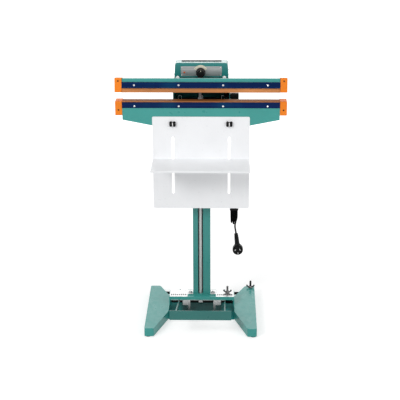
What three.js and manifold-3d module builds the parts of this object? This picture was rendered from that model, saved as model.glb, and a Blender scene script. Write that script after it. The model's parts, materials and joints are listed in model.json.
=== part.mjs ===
// Foot pedal impulse sealer: a jaw head on a column, closed by a pedal in the base.
// Millimetres, +Z up, +X to the right, the user stands on the -Y side.

import * as THREE from 'three';
import { mergeVertices } from 'three/addons/utils/BufferGeometryUtils.js';
import Module from 'manifold-3d';

const wasm = await Module();
wasm.setup();

// General fits
const clearance = 0.3;
const runningFit = 0.3;
const overrun = 1;
const degree = Math.PI / 180;

// Feet, pads and base pan
const footOuterX = 182;
const footRearInnerX = 149;
const footMiddleInnerX = 110;
const footFrontInnerX = 152;
const footRearY = 165;
const footMiddleRearY = 75;
const footMiddleFrontY = -47;
const footFrontY = -178;
const footTopZ = 31;
const footWall = 2;
const footCornerRadius = 5;
const padHeight = 3;
const padRadius = 11;
const padInset = 12;
const padChamfer = 1;
const padPlugRadius = 7;
const padPlugHeight = 6;
const panBottomZ = 0.5;
const panThickness = 1.4;
const panFlangeHeight = 23;
const panFrontY = -45;
const panRearY = 108;

// Bridge between the feet, its brackets and studs
const bridgeTopZ = 60;
const bridgeFrontY = 7;
const bridgeDepth = 55;
const bridgeSheet = 2.5;
const bridgeFrontLipHeight = 12;
const bridgeRearLipHeight = 17;
const bracketFrontY = 14;
const bracketThickness = 2.5;
const bracketLegWidth = 8;
const bracketInnerX = 39;
const bracketWingWidth = 26;
const bracketWingHeight = 32;
const studRadius = 3.5;
const studHoleRadius = studRadius + runningFit;
const nutHubRadius = 7;
const nutHubHeight = 8;
const wingSpan = 30;
const wingThickness = 3;
const wingHeight = 9;
const wingFootRise = 1;
const levelStudX = 168;
const levelStudY = 150;
const levelStudRise = 27;
const levelStudDepth = 11;
const strokeStudX = 87;
const strokeStudRise = 26;

// Pull rod
const rodX = -4;
const rodY = 40;
const rodRadius = 7;
const rodThreadRadius = 5;
const rodThreadLength = 57;
const rodThreadShow = 5;
const rodHoleSlack = 1.5;
const rodHoleRadius = rodRadius + rodHoleSlack;
const collarRadius = 10.5;
const collarHeight = 6;
const collarDrop = 40;
const springRadius = 10;
const springBore = 8;
const eyeWidth = 14;
const eyeHeight = 10;
const eyeRadius = 7.1;
const eyeSlack = 0.8;
const rodNutRadius = 9;
const rodNutHeight = 7.2;
const nutSides = 6;

// Column
const columnHeight = 580;
const columnWidth = 58;
const columnDepth = 30;
const columnFrontY = 30;
const columnSheet = 2.5;
const slotWidth = 17;
const columnFlangeWidth = 96;
const columnFlangeThickness = 3;
const columnFlangeFrontY = 22;
const guideDrop = 160;
const guideThickness = 4;

// Pedal
const pedalPivotY = 130;
const pedalPivotZ = 18.8;
const pivotRadius = 5;
const pivotHalfLength = 146;
const pedalSheet = 4;
const pedalArmX = 78;
const pedalBarY = -188;
const pedalBarHalfWidth = 99;
const pedalCornerY = -172;
const pedalHeelLength = 12;
const pedalHeelRise = 2;
const pedalMiddleTopZ = 44;
const pedalBarTopZ = 99.5;
const pedalBarHeight = 32.5;
const pedalPinZ = 27.5;
const pedalPinRadius = 4;
const pedalPinHalfLength = 105;
const pedalPinMargin = 3;
const sleeveRadius = 6;
const sleeveLength = 24;
const sleeveX = 92.5;

// Head tub, skirt and hinge
const headHalfWidth = 92;
const headFrontY = -17;
const headRearY = 180;
const headFrontHeight = 82;
const cheekRise = 31;
const cheekFrontY = 66;
const cheekHalfWidth = 87;
const cheekStepHeight = 113;
const headSheet = 2.5;
const skirtThickness = 3;
const skirtEndDepth = 38.3;
const skirtMiddleDepth = 69.2;
const hingeY = 135;
const hingeHeight = 132;
const hingeRadius = 6;
const openAngle = 10.5;

// Jaws
const jawHalfLength = 249;
const jawOverhang = 1;
const jawDepth = 30;
const lowerJawHeight = 20;
const bandThickness = 0.3;
const bandWidth = 6;
const bandEndMargin = 14;
const clothThickness = 0.8;
const lowerClothLift = 0.6;
const lowerCapDrop = 0.6;
const lowerClothDrop = 2.4;
const lowerRailHeight = 18.2;
const upperRailHeight = 18.3;
const railProud = 4;
const lowerRailDrop = 1.4;
const jawContactGap = 0.6;
const upperJawHeight = 28;
const upperClothRise = 13.3;
const upperRailGap = 0.6;
const siliconeWidth = 14;
const siliconeHeight = 3;
const siliconeRearY = 2;
const carrierHeight = 11.7;
const carrierSheet = 2.5;
const capWidth = 22.2;
const capFrontY = -21;
const capRearY = 27;
const lowerCapHeight = 45;
const upperCapHeight = 45.5;
const capWall = 2.2;
const capCornerRadius = 4;

// Upper arm and trunnion
const armHalfWidth = 82;
const armSheet = 2.5;
const armRise = 10;
const armFlangeDepth = 32;
const armRearLength = 13;
const armFrontDepth = 25;
const armRodHoleRadius = 13;
const trunnionDrop = 8.6;
const trunnionRadius = 8;
const trunnionBoreSlack = 1;

// Control box
const boxFrontY = 60;
const boxBaseThickness = 2.5;
const boxBottomHalfWidth = 86.4;
const boxTopHalfWidth = 83.8;
const boxHeight = 43.5;
const boxNoseHeight = 37.5;
const boxNoseDepth = 6;
const boxTopDepth = 52;
const boxTailHeight = 14;
const boxCornerRadius = 7;
const boxWall = 2;
const labelHalfWidth = 65.5;
const labelRise = 2;
const labelHeight = 31.5;
const labelThickness = 1;
const labelCornerRadius = 2;
const knobX = -2;
const knobRise = 14;
const knobRadius = 15;
const knobFlangeDepth = 4.4;
const knobGripRadius = 14.4;
const knobGripDepth = 21;
const knobFluteCount = 18;
const knobFluteDepth = 0.8;
const knobShaftRadius = 3;
const knobShaftLength = 11;
const lampX = -54.5;
const lampRadius = 3;
const lampFront = 3;
const lampRear = 3;
const boardHalfWidth = 45;
const boardThickness = 1.6;
const boardHeight = 30;
const boardSetback = 10;
const potRadius = 8;
const potDepth = 6;

// Transformer and micro switch
const coreHalfWidth = 50;
const coreDepth = 50;
const coreHeight = 72;
const coilHalfWidth = 30;
const coilDepth = 76;
const coilInset = 12;
const transformerY = 130;
const switchY = 110;
const switchWidth = 17;
const switchDepth = 20;
const switchHeight = 20;
const switchDrop = 24;
const plungerRadius = 2;
const plungerLength = 12.3;
const plungerRise = 5.5;
const plungerRoom = 5;

// Tray
const trayHalfWidth = 155;
const trayTopRise = 54.6;
const trayHeight = 306.8;
const trayThickness = 1.7;
const trayCornerRadius = 5;
const traySlotX = 90;
const traySlotWidth = 7.6;
const traySlotRise = 50.2;
const traySlotDrop = 66;
const trayScrewX = 90;
const trayScrewDrop = 22.6;
const trayScrewRadius = 2.5;
const trayHubRadius = 5;
const trayHubDepth = 8;
const trayWingWidth = 9.6;
const trayWingOffset = 5.6;
const trayWingHeight = 19;
const trayWingDepth = 5;
const trayWingRoundShare = 0.46;
const shelfDrop = 139.1;
const shelfThickness = 2;
const shelfDepth = 133;
const shelfFlangeHeight = 30;
const shelfLipHeight = 6;
const shelfScrewDrop = 15.5;
const shelfScrewRadius = 3;
const shelfNutRadius = 7;
const shelfNutDepth = 4;
const shelfHeadRadius = 5.5;
const shelfHeadDepth = 2.5;

// Cord
const cordRadius = 2.8;
const cordSides = 8;
const cordRingSpacing = 14;
const glandY = 80;
const glandRise = 97;
const glandNutRadius = 8.5;
const glandNutLength = 5;
const glandNeckRadius = 5.5;
const glandBodyRadius = 11;
const glandBodyLength = 28.3;
const glandEndRound = 3;
const glandOutletReach = 15.7;
const glandOutletRadius = 6;
const glandOutletDrop = 6;
const hankX = 107.6;
const hankY = 66;
const hankZ = 357.5;
const hankLoops = 3;
const hankUpperRun = 48;
const hankLowerRun = 36;
const hankFoldRadius = 17;
const hankPitch = 6.6;
const hankWaistShare = 0.3;
const hankStaggerShare = 0.2;
const hankSteps = 24;
const hankSides = 6;
const hankNeighbourReach = 42;
const tieHeight = 5.5;
const tieThickness = 1.2;
const tieSlack = 0.5;
const tieCornerRadius = 2.4;
const plugX = 121.5;
const plugY = 84;
const plugZ = 204;
const plugTilt = 6.3;
const plugRadius = 17.8;
const plugDepth = 22;
const plugHandleLength = 57;
const plugHandleTopRadius = 6.2;
const plugHandleRadius = 7.4;
const bladeWidth = 6.3;
const bladeThickness = 1.6;
const bladeLength = 17;
const bladeSpread = 7.9;
const bladeRise = 7;
const bladeEarthDrop = 5;
const bladeTilt = 30;

const cordLeadRoute = [
  [108, 80, 719.7], [108, 80, 708], [108.6, 80, 688], [111, 79.8, 655], [113.4, 79.4, 615],
  [113.2, 79, 575], [110.4, 79.2, 537], [106, 80.4, 500], [101.8, 82.4, 465], [98.6, 83.8, 432],
  [97.7, 83.8, 405],
  [97.7, 81.5, 380], [97.7, 78.4, 366], [97.7, 77.9, 357.8],
];
const cordTailRoute = [
  [117.5, 77.9, 357.2], [117.6, 78.5, 345], [117.7, 81.2, 333.5], [117.6, 84, 322], [116.4, 85.4, 311],
  [112.8, 85.4, 299], [111.4, 85, 288], [112.4, 84.4, 278], [114, 84, 269], [115.2, 84, 261.1],
];

// Places that follow from the sizes
const headBottomZ = bridgeTopZ + columnHeight;
const headFrontTopZ = headBottomZ + headFrontHeight;
const guideZ = headBottomZ - guideDrop;
const collarZ = headBottomZ - collarDrop;
const glandZ = headBottomZ + glandRise;
const skirtEndZ = headFrontTopZ - skirtEndDepth;
const skirtMiddleZ = headFrontTopZ - skirtMiddleDepth;
const hingeZ = headBottomZ + hingeHeight;
const cheekTopZ = hingeZ + cheekRise;
const armTopZ = hingeZ + armRise;
const trunnionZ = hingeZ - trunnionDrop;
const switchTopZ = hingeZ - switchDrop;
const plungerTopZ = switchTopZ + plungerRise;
const jawFrontY = headFrontY - jawOverhang;
const jawRearY = jawFrontY + jawDepth;
const lowerJawTopZ = headFrontTopZ + lowerJawHeight;
const railFrontY = jawFrontY - railProud;
const lowerRailTopZ = lowerJawTopZ - lowerRailDrop;
const boxBottomZ = cheekTopZ + boxBaseThickness;
const labelBottomZ = boxBottomZ + labelRise;
const knobZ = boxBottomZ + knobRise;
const boardY = boxFrontY + boardSetback;
const trayFrontY = headFrontY - skirtThickness - clearance - trayThickness;
const trayTopZ = headBottomZ + trayTopRise;
const trayBottomZ = trayTopZ - trayHeight;
const traySlotBottomZ = trayBottomZ + traySlotRise;
const traySlotTopZ = trayTopZ - traySlotDrop;
const trayScrewZ = trayTopZ - trayScrewDrop;
const shelfTopZ = trayTopZ - shelfDrop;

// Materials
function paint(name, color, roughness, metalness) {
  const material = new THREE.MeshStandardMaterial({ color, roughness, metalness });
  material.name = name;
  return material;
}
const teal = paint('teal_paint', 0x3f9a94, 0.4, 0.1);
const darkTeal = paint('dark_teal_paint', 0x2a6a6c, 0.4, 0.1);
const blue = paint('blue_anodised', 0x1b3f66, 0.35, 0.3);
const cloth = paint('ptfe_cloth', 0xb98a5c, 0.6, 0);
const steel = paint('bright_steel', 0xb9c0c2, 0.3, 0.9);
const zinc = paint('zinc', 0x9aa3a6, 0.4, 0.8);
const blackSteel = paint('black_steel', 0x151617, 0.5, 0.5);
const aluminium = paint('aluminium', 0xa9adb0, 0.4, 0.9);
const orange = paint('orange_plastic', 0xf28a3a, 0.4, 0);
const white = paint('white_paint', 0xeceef0, 0.35, 0.1);
const blackPlastic = paint('black_plastic', 0x1c1b1d, 0.45, 0);
const rubber = paint('black_rubber', 0x101010, 0.9, 0);
const jacket = paint('cord_jacket', 0x0d0d0d, 0.5, 0);
const iron = paint('transformer_iron', 0x5a4533, 0.6, 0.4);
const silicone = paint('silicone', 0x8e3b2c, 0.7, 0);
const board = paint('circuit_board', 0x2f6b3a, 0.5, 0);

// Solids
const axisBasis = {
  x: new THREE.Matrix4().makeBasis(
    new THREE.Vector3(0, 1, 0), new THREE.Vector3(0, 0, 1), new THREE.Vector3(1, 0, 0)),
  y: new THREE.Matrix4().makeBasis(
    new THREE.Vector3(1, 0, 0), new THREE.Vector3(0, 0, 1), new THREE.Vector3(0, -1, 0)),
  z: new THREE.Matrix4(),
};

function box(x0, x1, y0, y1, z0, z1) {
  const geometry = new THREE.BoxGeometry(x1 - x0, y1 - y0, z1 - z0);
  return geometry.translate((x0 + x1) / 2, (y0 + y1) / 2, (z0 + z1) / 2);
}

// A flat outline swept along an axis: (y, z) points for x, (x, z) for y and (x, y) for z.
function prism(shape, axis, from, to, curveSegments = 5) {
  const depth = to - from;
  const geometry = new THREE.ExtrudeGeometry(shape, { depth, bevelEnabled: false, curveSegments });
  geometry.applyMatrix4(axisBasis[axis]);
  if (axis === 'x') geometry.translate(from, 0, 0);
  if (axis === 'y') geometry.translate(0, to, 0);
  if (axis === 'z') geometry.translate(0, 0, from);
  return geometry;
}

// A round bar along an axis through the point (a, b) of the plane square to it.
function bar(axis, from, to, a, b, radius, sides = 20, endRadius = radius) {
  const geometry = new THREE.CylinderGeometry(endRadius, radius, to - from, sides);
  geometry.translate(0, (from + to) / 2, 0);
  if (axis === 'x') geometry.rotateZ(-Math.PI / 2).translate(0, a, b);
  if (axis === 'y') geometry.translate(a, 0, b);
  if (axis === 'z') geometry.rotateX(Math.PI / 2).translate(a, b, 0);
  return geometry;
}

function outline(points) {
  return new THREE.Shape(points.map(([u, v]) => new THREE.Vector2(u, v)));
}

function roundedOutline(points, radius) {
  const corners = points.map(([u, v]) => new THREE.Vector2(u, v));
  const shape = new THREE.Shape();
  corners.forEach((corner, index) => {
    const before = corners[(index + corners.length - 1) % corners.length];
    const after = corners[(index + 1) % corners.length];
    const arrive = corner.clone().add(before.clone().sub(corner).setLength(radius));
    const leave = corner.clone().add(after.clone().sub(corner).setLength(radius));
    if (index === 0) shape.moveTo(arrive.x, arrive.y);
    else shape.lineTo(arrive.x, arrive.y);
    shape.quadraticCurveTo(corner.x, corner.y, leave.x, leave.y);
  });
  shape.closePath();
  return shape;
}

// The line through two points, moved sideways to its left by an offset.
function movedLine(start, end, offset) {
  const along = end.clone().sub(start).normalize();
  const side = new THREE.Vector2(-along.y, along.x).multiplyScalar(offset);
  return { point: start.clone().add(side), along };
}

function meet(first, second) {
  const cross = first.along.x * second.along.y - first.along.y * second.along.x;
  const gap = second.point.clone().sub(first.point);
  const reach = (gap.x * second.along.y - gap.y * second.along.x) / cross;
  return first.point.clone().addScaledVector(first.along, reach);
}

// A counterclockwise outline drawn in by a wall.
function insetOutline(points, wall) {
  const corners = points.map(([u, v]) => new THREE.Vector2(u, v));
  const lines = corners.map((corner, index) => (
    movedLine(corner, corners[(index + 1) % corners.length], wall)));
  return lines.map((line, index) => {
    const corner = meet(lines[(index + lines.length - 1) % lines.length], line);
    return [corner.x, corner.y];
  });
}

// A sheet of even thickness bent along a centre line, seen from its edge.
function sheetOutline(points, thickness) {
  const path = points.map(([u, v]) => new THREE.Vector2(u, v));
  const side = (offset) => path.map((point, index) => {
    const lineBefore = index > 0 ? movedLine(path[index - 1], point, offset) : null;
    const lineAfter = index < path.length - 1 ? movedLine(point, path[index + 1], offset) : null;
    if (!lineBefore) return lineAfter.point;
    if (!lineAfter) return movedLine(point, path[index - 1], -offset).point;
    return meet(lineBefore, lineAfter);
  });
  const left = side(thickness / 2);
  const right = side(-thickness / 2).reverse();
  return new THREE.Shape([...left, ...right]);
}

function toSolid(geometry) {
  const plain = geometry.clone();
  plain.deleteAttribute('normal');
  plain.deleteAttribute('uv');
  const merged = mergeVertices(plain, clearance / 1000);
  const vertProperties = new Float32Array(merged.attributes.position.array);
  const triVerts = new Uint32Array(merged.index.array);
  return new wasm.Manifold(new wasm.Mesh({ numProp: 3, vertProperties, triVerts }));
}

function toGeometry(solid) {
  const mesh = solid.getMesh();
  const geometry = new THREE.BufferGeometry();
  geometry.setAttribute('position', new THREE.BufferAttribute(new Float32Array(mesh.vertProperties), 3));
  geometry.setIndex(new THREE.BufferAttribute(new Uint32Array(mesh.triVerts), 1));
  geometry.computeVertexNormals();
  return geometry;
}

function cut(body, ...tools) {
  return toGeometry(tools.reduce((solid, tool) => solid.subtract(toSolid(tool)), toSolid(body)));
}

function join(body, ...others) {
  return toGeometry(others.reduce((solid, other) => solid.add(toSolid(other)), toSolid(body)));
}

function common(first, second) {
  return toGeometry(toSolid(first).intersect(toSolid(second)));
}

function piece(name, geometry, material) {
  const mesh = new THREE.Mesh(geometry, material);
  mesh.name = name;
  return mesh;
}

// Base
const footOutlineRight = [
  [footOuterX, footRearY], [footRearInnerX, footRearY], [footMiddleInnerX, footMiddleRearY],
  [footMiddleInnerX, footMiddleFrontY], [footFrontInnerX, footFrontY], [footOuterX, footFrontY],
];

function mirrored(points) {
  return points.map(([u, v]) => [-u, v]).reverse();
}

function makeFoot(side) {
  const points = side > 0 ? footOutlineRight : mirrored(footOutlineRight);
  const hollow = insetOutline(points, footWall);
  const body = prism(roundedOutline(points, footCornerRadius), 'z', padHeight, footTopZ);
  const inside = prism(roundedOutline(hollow, footCornerRadius - footWall), 'z',
    padHeight - overrun, footTopZ - footWall);
  const pivotHole = bar('x', -footOuterX + 2 * footWall, footOuterX - 2 * footWall,
    pedalPivotY, pedalPivotZ, pivotRadius + runningFit);
  const tools = [inside, pivotHole];
  if (side > 0) {
    tools.push(bar('z', padHeight, footTopZ + overrun, levelStudX, levelStudY, studHoleRadius, 16));
  }
  return cut(body, ...tools);
}

function makePad(x, y) {
  const profile = [
    [0, 0], [padRadius - padChamfer, 0], [padRadius, padChamfer], [padRadius, padHeight],
    [padPlugRadius, padHeight], [padPlugRadius, padHeight + padPlugHeight], [0, padHeight + padPlugHeight],
  ].map(([r, z]) => new THREE.Vector2(r, z));
  return new THREE.LatheGeometry(profile, 16).rotateX(Math.PI / 2).translate(x, y, 0);
}

const bridgeRearY = bridgeFrontY + bridgeDepth;
const panTopZ = panBottomZ + panFlangeHeight;

function makeBridge() {
  const endX = footMiddleInnerX - bridgeSheet / 2;
  const topZ = bridgeTopZ - bridgeSheet / 2;
  const legZ = panTopZ + clearance;
  const section = sheetOutline([[-endX, legZ], [-endX, topZ], [endX, topZ], [endX, legZ]], bridgeSheet);
  const channel = prism(section, 'y', bridgeFrontY, bridgeRearY);
  const frontLip = box(-endX, endX, bridgeFrontY, bridgeFrontY + bridgeSheet,
    bridgeTopZ - bridgeFrontLipHeight, topZ);
  const rearLip = box(-endX, endX, bridgeRearY - bridgeSheet, bridgeRearY,
    bridgeTopZ - bridgeRearLipHeight, topZ);
  const rodHole = bar('z', bridgeTopZ - 2 * bridgeSheet, bridgeTopZ + overrun, rodX, rodY, rodHoleRadius);
  const studHole = bar('z', bridgeTopZ - 2 * bridgeSheet, bridgeTopZ + overrun,
    strokeStudX, rodY, studHoleRadius, 16);
  return cut(join(channel, frontLip, rearLip), rodHole, studHole);
}

function makePan() {
  const edgeX = footMiddleInnerX - panThickness / 2;
  const floorZ = panBottomZ + panThickness / 2;
  const section = sheetOutline([[-edgeX, panTopZ], [-edgeX, floorZ], [edgeX, floorZ], [edgeX, panTopZ]],
    panThickness);
  return prism(section, 'y', panFrontY, panRearY);
}

function makeBracket(side) {
  const outer = bracketInnerX + bracketLegWidth;
  const underBridge = bridgeTopZ - bridgeSheet;
  const wingBottom = underBridge - bracketWingHeight;
  const wingEnd = bracketInnerX + bracketWingWidth;
  const points = [
    [bracketInnerX, panBottomZ + panThickness], [outer, panBottomZ + panThickness], [outer, wingBottom],
    [wingEnd, wingBottom], [wingEnd, underBridge], [bracketInnerX, underBridge],
  ];
  const shape = outline(side > 0 ? points : mirrored(points));
  return prism(shape, 'y', bracketFrontY, bracketFrontY + bracketThickness);
}

function makeWingNut(x, y, z) {
  const hub = bar('z', z, z + nutHubHeight, x, y, nutHubRadius, 16);
  const half = wingSpan / 2;
  const tipZ = z + nutHubHeight + wingHeight / 2;
  const neckX = nutHubRadius / 2;
  const wing = prism(outline([
    [x - half, z + nutHubHeight / 2], [x - half + wingThickness, tipZ],
    [x - half + 2 * wingThickness, tipZ], [x - neckX, z + wingThickness],
    [x + neckX, z + wingThickness], [x + half - 2 * wingThickness, tipZ],
    [x + half - wingThickness, tipZ], [x + half, z + nutHubHeight / 2],
    [x + neckX, z + wingFootRise], [x - neckX, z + wingFootRise],
  ]), 'y', y - wingThickness / 2, y + wingThickness / 2);
  const bore = bar('z', z - overrun, z + nutHubHeight + wingHeight, x, y, studHoleRadius, 16);
  return cut(join(hub, wing), bore);
}

function addBase(group) {
  const padX = footOuterX - padInset;
  const padFrontY = footFrontY + padInset;
  const padRearY = footRearY - padInset;
  group.add(piece('foot_left', makeFoot(-1), teal));
  group.add(piece('foot_right', makeFoot(1), teal));
  group.add(piece('rubber_pad_front_left', makePad(-padX, padFrontY), rubber));
  group.add(piece('rubber_pad_front_right', makePad(padX, padFrontY), rubber));
  group.add(piece('rubber_pad_rear_left', makePad(-padX, padRearY), rubber));
  group.add(piece('rubber_pad_rear_right', makePad(padX, padRearY), rubber));
  group.add(piece('bridge', makeBridge(), teal));
  group.add(piece('base_pan', makePan(), darkTeal));
  group.add(piece('support_bracket_left', makeBracket(-1), zinc));
  group.add(piece('support_bracket_right', makeBracket(1), zinc));
  group.add(piece('pivot_shaft',
    bar('x', -pivotHalfLength, pivotHalfLength, pedalPivotY, pedalPivotZ, pivotRadius), blackSteel));
  group.add(piece('level_stud', bar('z', footTopZ - levelStudDepth, footTopZ + levelStudRise,
    levelStudX, levelStudY, studRadius, 16), steel));
  group.add(piece('level_wing_nut', makeWingNut(levelStudX, levelStudY, footTopZ + clearance), zinc));
  group.add(piece('stroke_stud', bar('z', pedalPinZ + sleeveRadius + clearance, bridgeTopZ + strokeStudRise,
    strokeStudX, rodY, studRadius, 16), steel));
  group.add(piece('stroke_wing_nut', makeWingNut(strokeStudX, rodY, bridgeTopZ + clearance), zinc));
}

// Column
function makeColumn() {
  const left = -columnWidth / 2 + columnSheet / 2;
  const right = -left;
  const front = columnFrontY + columnSheet / 2;
  const rear = columnFrontY + columnDepth - columnSheet / 2;
  const slotLeft = rodX - slotWidth / 2;
  const slotRight = rodX + slotWidth / 2;
  const section = sheetOutline([[slotLeft, front], [left, front], [left, rear], [right, rear],
    [right, front], [slotRight, front]], columnSheet);
  const post = prism(section, 'z', bridgeTopZ, headBottomZ);
  const flangeX = columnFlangeWidth / 2;
  const rearY = columnFrontY + columnDepth;
  const foot = box(-flangeX, flangeX, columnFlangeFrontY, rearY,
    bridgeTopZ, bridgeTopZ + columnFlangeThickness);
  const top = box(-flangeX, flangeX, columnFlangeFrontY, rearY,
    headBottomZ - columnFlangeThickness, headBottomZ);
  const guide = box(left, right, front, rear, guideZ, guideZ + guideThickness);
  const rodHole = bar('z', bridgeTopZ - overrun, headBottomZ + overrun, rodX, rodY, rodHoleRadius);
  return cut(join(post, foot, top, guide), rodHole);
}

// Pull rod with its eye, nut and return spring
const rise = 2 * Math.hypot(hingeY - rodY, hingeZ - trunnionZ) * Math.sin(openAngle * degree / 2);
const rodBottomZ = pedalPinZ + eyeHeight + clearance;
const rodTopZ = trunnionZ + rise + trunnionRadius + clearance + rodNutHeight + rodThreadShow;

function makeRod() {
  const profile = [
    [0, rodBottomZ], [rodRadius, rodBottomZ], [rodRadius, collarZ], [collarRadius, collarZ],
    [collarRadius, collarZ + collarHeight], [rodRadius, collarZ + collarHeight],
    [rodRadius, rodTopZ - rodThreadLength], [rodThreadRadius, rodTopZ - rodThreadLength],
    [rodThreadRadius, rodTopZ], [0, rodTopZ],
  ].map(([r, z]) => new THREE.Vector2(r, z));
  return new THREE.LatheGeometry(profile, 20).rotateX(Math.PI / 2).translate(rodX, rodY, 0);
}

function makeRodEye() {
  const half = eyeWidth / 2;
  const block = box(rodX - half, rodX + half, rodY - half, rodY + half, pedalPinZ, pedalPinZ + eyeHeight);
  const round = bar('x', rodX - half, rodX + half, rodY, pedalPinZ, eyeRadius, 24);
  const bore = bar('x', rodX - eyeWidth, rodX + eyeWidth, rodY, pedalPinZ, pedalPinRadius + eyeSlack, 24);
  return cut(join(block, round), bore);
}

function makeReturnSpring() {
  const bottom = guideZ + guideThickness + clearance;
  const top = collarZ - clearance;
  const profile = [[springBore, bottom], [springRadius, bottom], [springRadius, top], [springBore, top],
    [springBore, bottom]].map(([r, z]) => new THREE.Vector2(r, z));
  return new THREE.LatheGeometry(profile, 16).rotateX(Math.PI / 2).translate(rodX, rodY, 0);
}

function makeRodNut() {
  const bottom = trunnionZ + rise + trunnionRadius + clearance;
  const nut = bar('z', bottom, bottom + rodNutHeight, rodX, rodY, rodNutRadius, nutSides);
  const bore = bar('z', bottom - overrun, bottom + rodNutHeight + overrun, rodX, rodY,
    rodThreadRadius + runningFit);
  return cut(nut, bore);
}

function addRod(group) {
  group.add(piece('pull_rod', makeRod(), steel));
  group.add(piece('rod_eye', makeRodEye(), steel));
  group.add(piece('rod_nut', makeRodNut(), steel));
  group.add(piece('return_spring', makeReturnSpring(), steel));
}

// Pedal
function makePedalFrame() {
  const heelY = pedalPivotY + pedalHeelLength;
  const arms = sheetOutline([[-pedalArmX, heelY], [-pedalArmX, pedalBarY], [pedalArmX, pedalBarY],
    [pedalArmX, heelY]], pedalSheet);
  const barBottomZ = pedalBarTopZ - pedalBarHeight;
  const frontY = pedalBarY - pedalSheet;
  const heelHalf = pivotRadius + pedalSheet;
  const sideView = outline([
    [heelY, pedalPivotZ - heelHalf], [heelY, pedalPivotZ + heelHalf],
    [pedalPivotY, pedalPivotZ + heelHalf + pedalHeelRise], [0, pedalMiddleTopZ],
    [pedalCornerY, pedalBarTopZ - pedalSheet], [frontY, pedalBarTopZ], [frontY, barBottomZ],
    [pedalCornerY, barBottomZ - pedalSheet], [rodY, pedalPinZ - pedalPinRadius - pedalPinMargin],
    [footMiddleRearY, pedalPivotZ - pivotRadius],
  ]);
  const blank = join(prism(arms, 'z', 0, pedalBarTopZ + overrun),
    box(-pedalBarHalfWidth, pedalBarHalfWidth, pedalBarY - pedalSheet / 2, pedalBarY + pedalSheet / 2,
      0, pedalBarTopZ + overrun));
  const trimmed = common(blank, prism(sideView, 'x', -footOuterX, footOuterX));
  const reach = footOuterX;
  return cut(trimmed,
    bar('x', -reach, reach, pedalPivotY, pedalPivotZ, pivotRadius + runningFit),
    bar('x', -reach, reach, rodY, pedalPinZ, pedalPinRadius + runningFit, 16));
}

function makeSleeve() {
  const from = sleeveX - sleeveLength / 2;
  const to = sleeveX + sleeveLength / 2;
  const body = bar('x', from, to, rodY, pedalPinZ, sleeveRadius, 16);
  return cut(body, bar('x', from - overrun, to + overrun,
    rodY, pedalPinZ, pedalPinRadius + runningFit, 16));
}

function addPedal(group) {
  group.add(piece('pedal_frame', makePedalFrame(), teal));
  group.add(piece('pedal_cross_pin', bar('x', -pedalPinHalfLength, pedalPinHalfLength,
    rodY, pedalPinZ, pedalPinRadius, 16), blackSteel));
  group.add(piece('pin_sleeve', makeSleeve(), rubber));
}

// Head
function makeHeadTub() {
  const w = headHalfWidth;
  const c = cheekHalfWidth;
  const stepZ = headBottomZ + cheekStepHeight;
  const body = join(box(-w, w, headFrontY, headRearY, headBottomZ, stepZ),
    box(-c, c, headFrontY, headRearY, headBottomZ, cheekTopZ));
  const inside = join(box(-w + headSheet, w - headSheet, headFrontY + headSheet, headRearY - headSheet,
    headBottomZ + headSheet, stepZ - headSheet), box(-c + headSheet, c - headSheet, headFrontY + headSheet,
    headRearY - headSheet, headBottomZ + headSheet, cheekTopZ + overrun));
  const frontCut = box(-w - overrun, w + overrun, headFrontY - overrun, cheekFrontY,
    headFrontTopZ, cheekTopZ + overrun);
  const rodHole = bar('z', headBottomZ - overrun, headBottomZ + 2 * headSheet, rodX, rodY, rodHoleRadius);
  const hingeHole = bar('x', -w - overrun, w + overrun, hingeY, hingeZ, hingeRadius + runningFit);
  const glandHole = bar('x', w - 2 * headSheet, w + overrun, glandY, glandZ, glandNeckRadius + runningFit);
  return cut(body, inside, frontCut, rodHole, hingeHole, glandHole);
}

function makeSkirt() {
  const w = headHalfWidth;
  const l = jawHalfLength;
  const shape = outline([[-l, skirtEndZ], [-w, skirtMiddleZ], [w, skirtMiddleZ], [l, skirtEndZ],
    [l, headFrontTopZ], [-l, headFrontTopZ]]);
  const body = prism(shape, 'y', headFrontY - skirtThickness, headFrontY);
  const holes = [-trayScrewX, trayScrewX].map((x) => bar('y', headFrontY - 2 * skirtThickness,
    headFrontY + overrun, x, trayScrewZ, trayScrewRadius + runningFit, 12));
  return cut(body, ...holes);
}

function makeTransformer() {
  const floor = headBottomZ + headSheet;
  const core = box(-coreHalfWidth, coreHalfWidth,
    transformerY - coreDepth / 2, transformerY + coreDepth / 2, floor, floor + coreHeight);
  const coil = box(-coilHalfWidth, coilHalfWidth,
    transformerY - coilDepth / 2, transformerY + coilDepth / 2,
    floor + coilInset, floor + coreHeight - coilInset);
  return join(core, coil);
}

const plungerX = armHalfWidth - armSheet / 2;

function makeSwitch() {
  const outerX = headHalfWidth - headSheet;
  const body = box(outerX - switchWidth, outerX, switchY - switchDepth / 2, switchY + switchDepth / 2,
    switchTopZ - switchHeight, switchTopZ);
  const bore = bar('z', plungerTopZ - plungerLength - plungerRoom - overrun, switchTopZ + overrun,
    plungerX, switchY, plungerRadius + runningFit, 12);
  return cut(body, bore);
}

function makeGland() {
  const wallX = headHalfWidth;
  const profile = [
    [0, wallX - headSheet - clearance - glandNutLength],
    [glandNutRadius, wallX - headSheet - clearance - glandNutLength],
    [glandNutRadius, wallX - headSheet - clearance], [glandNeckRadius, wallX - headSheet - clearance],
    [glandNeckRadius, wallX + clearance], [glandBodyRadius, wallX + clearance],
    [glandBodyRadius, wallX + clearance + glandBodyLength - glandEndRound],
    [glandBodyRadius - glandEndRound, wallX + clearance + glandBodyLength],
    [0, wallX + clearance + glandBodyLength],
  ].map(([r, x]) => new THREE.Vector2(r, x));
  const body = new THREE.LatheGeometry(profile, 20).rotateZ(-Math.PI / 2).translate(0, glandY, glandZ);
  return join(body, bar('z', glandZ - glandBodyRadius - glandOutletDrop, glandZ,
    wallX + clearance + glandOutletReach, glandY, glandOutletRadius, 16));
}

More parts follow.
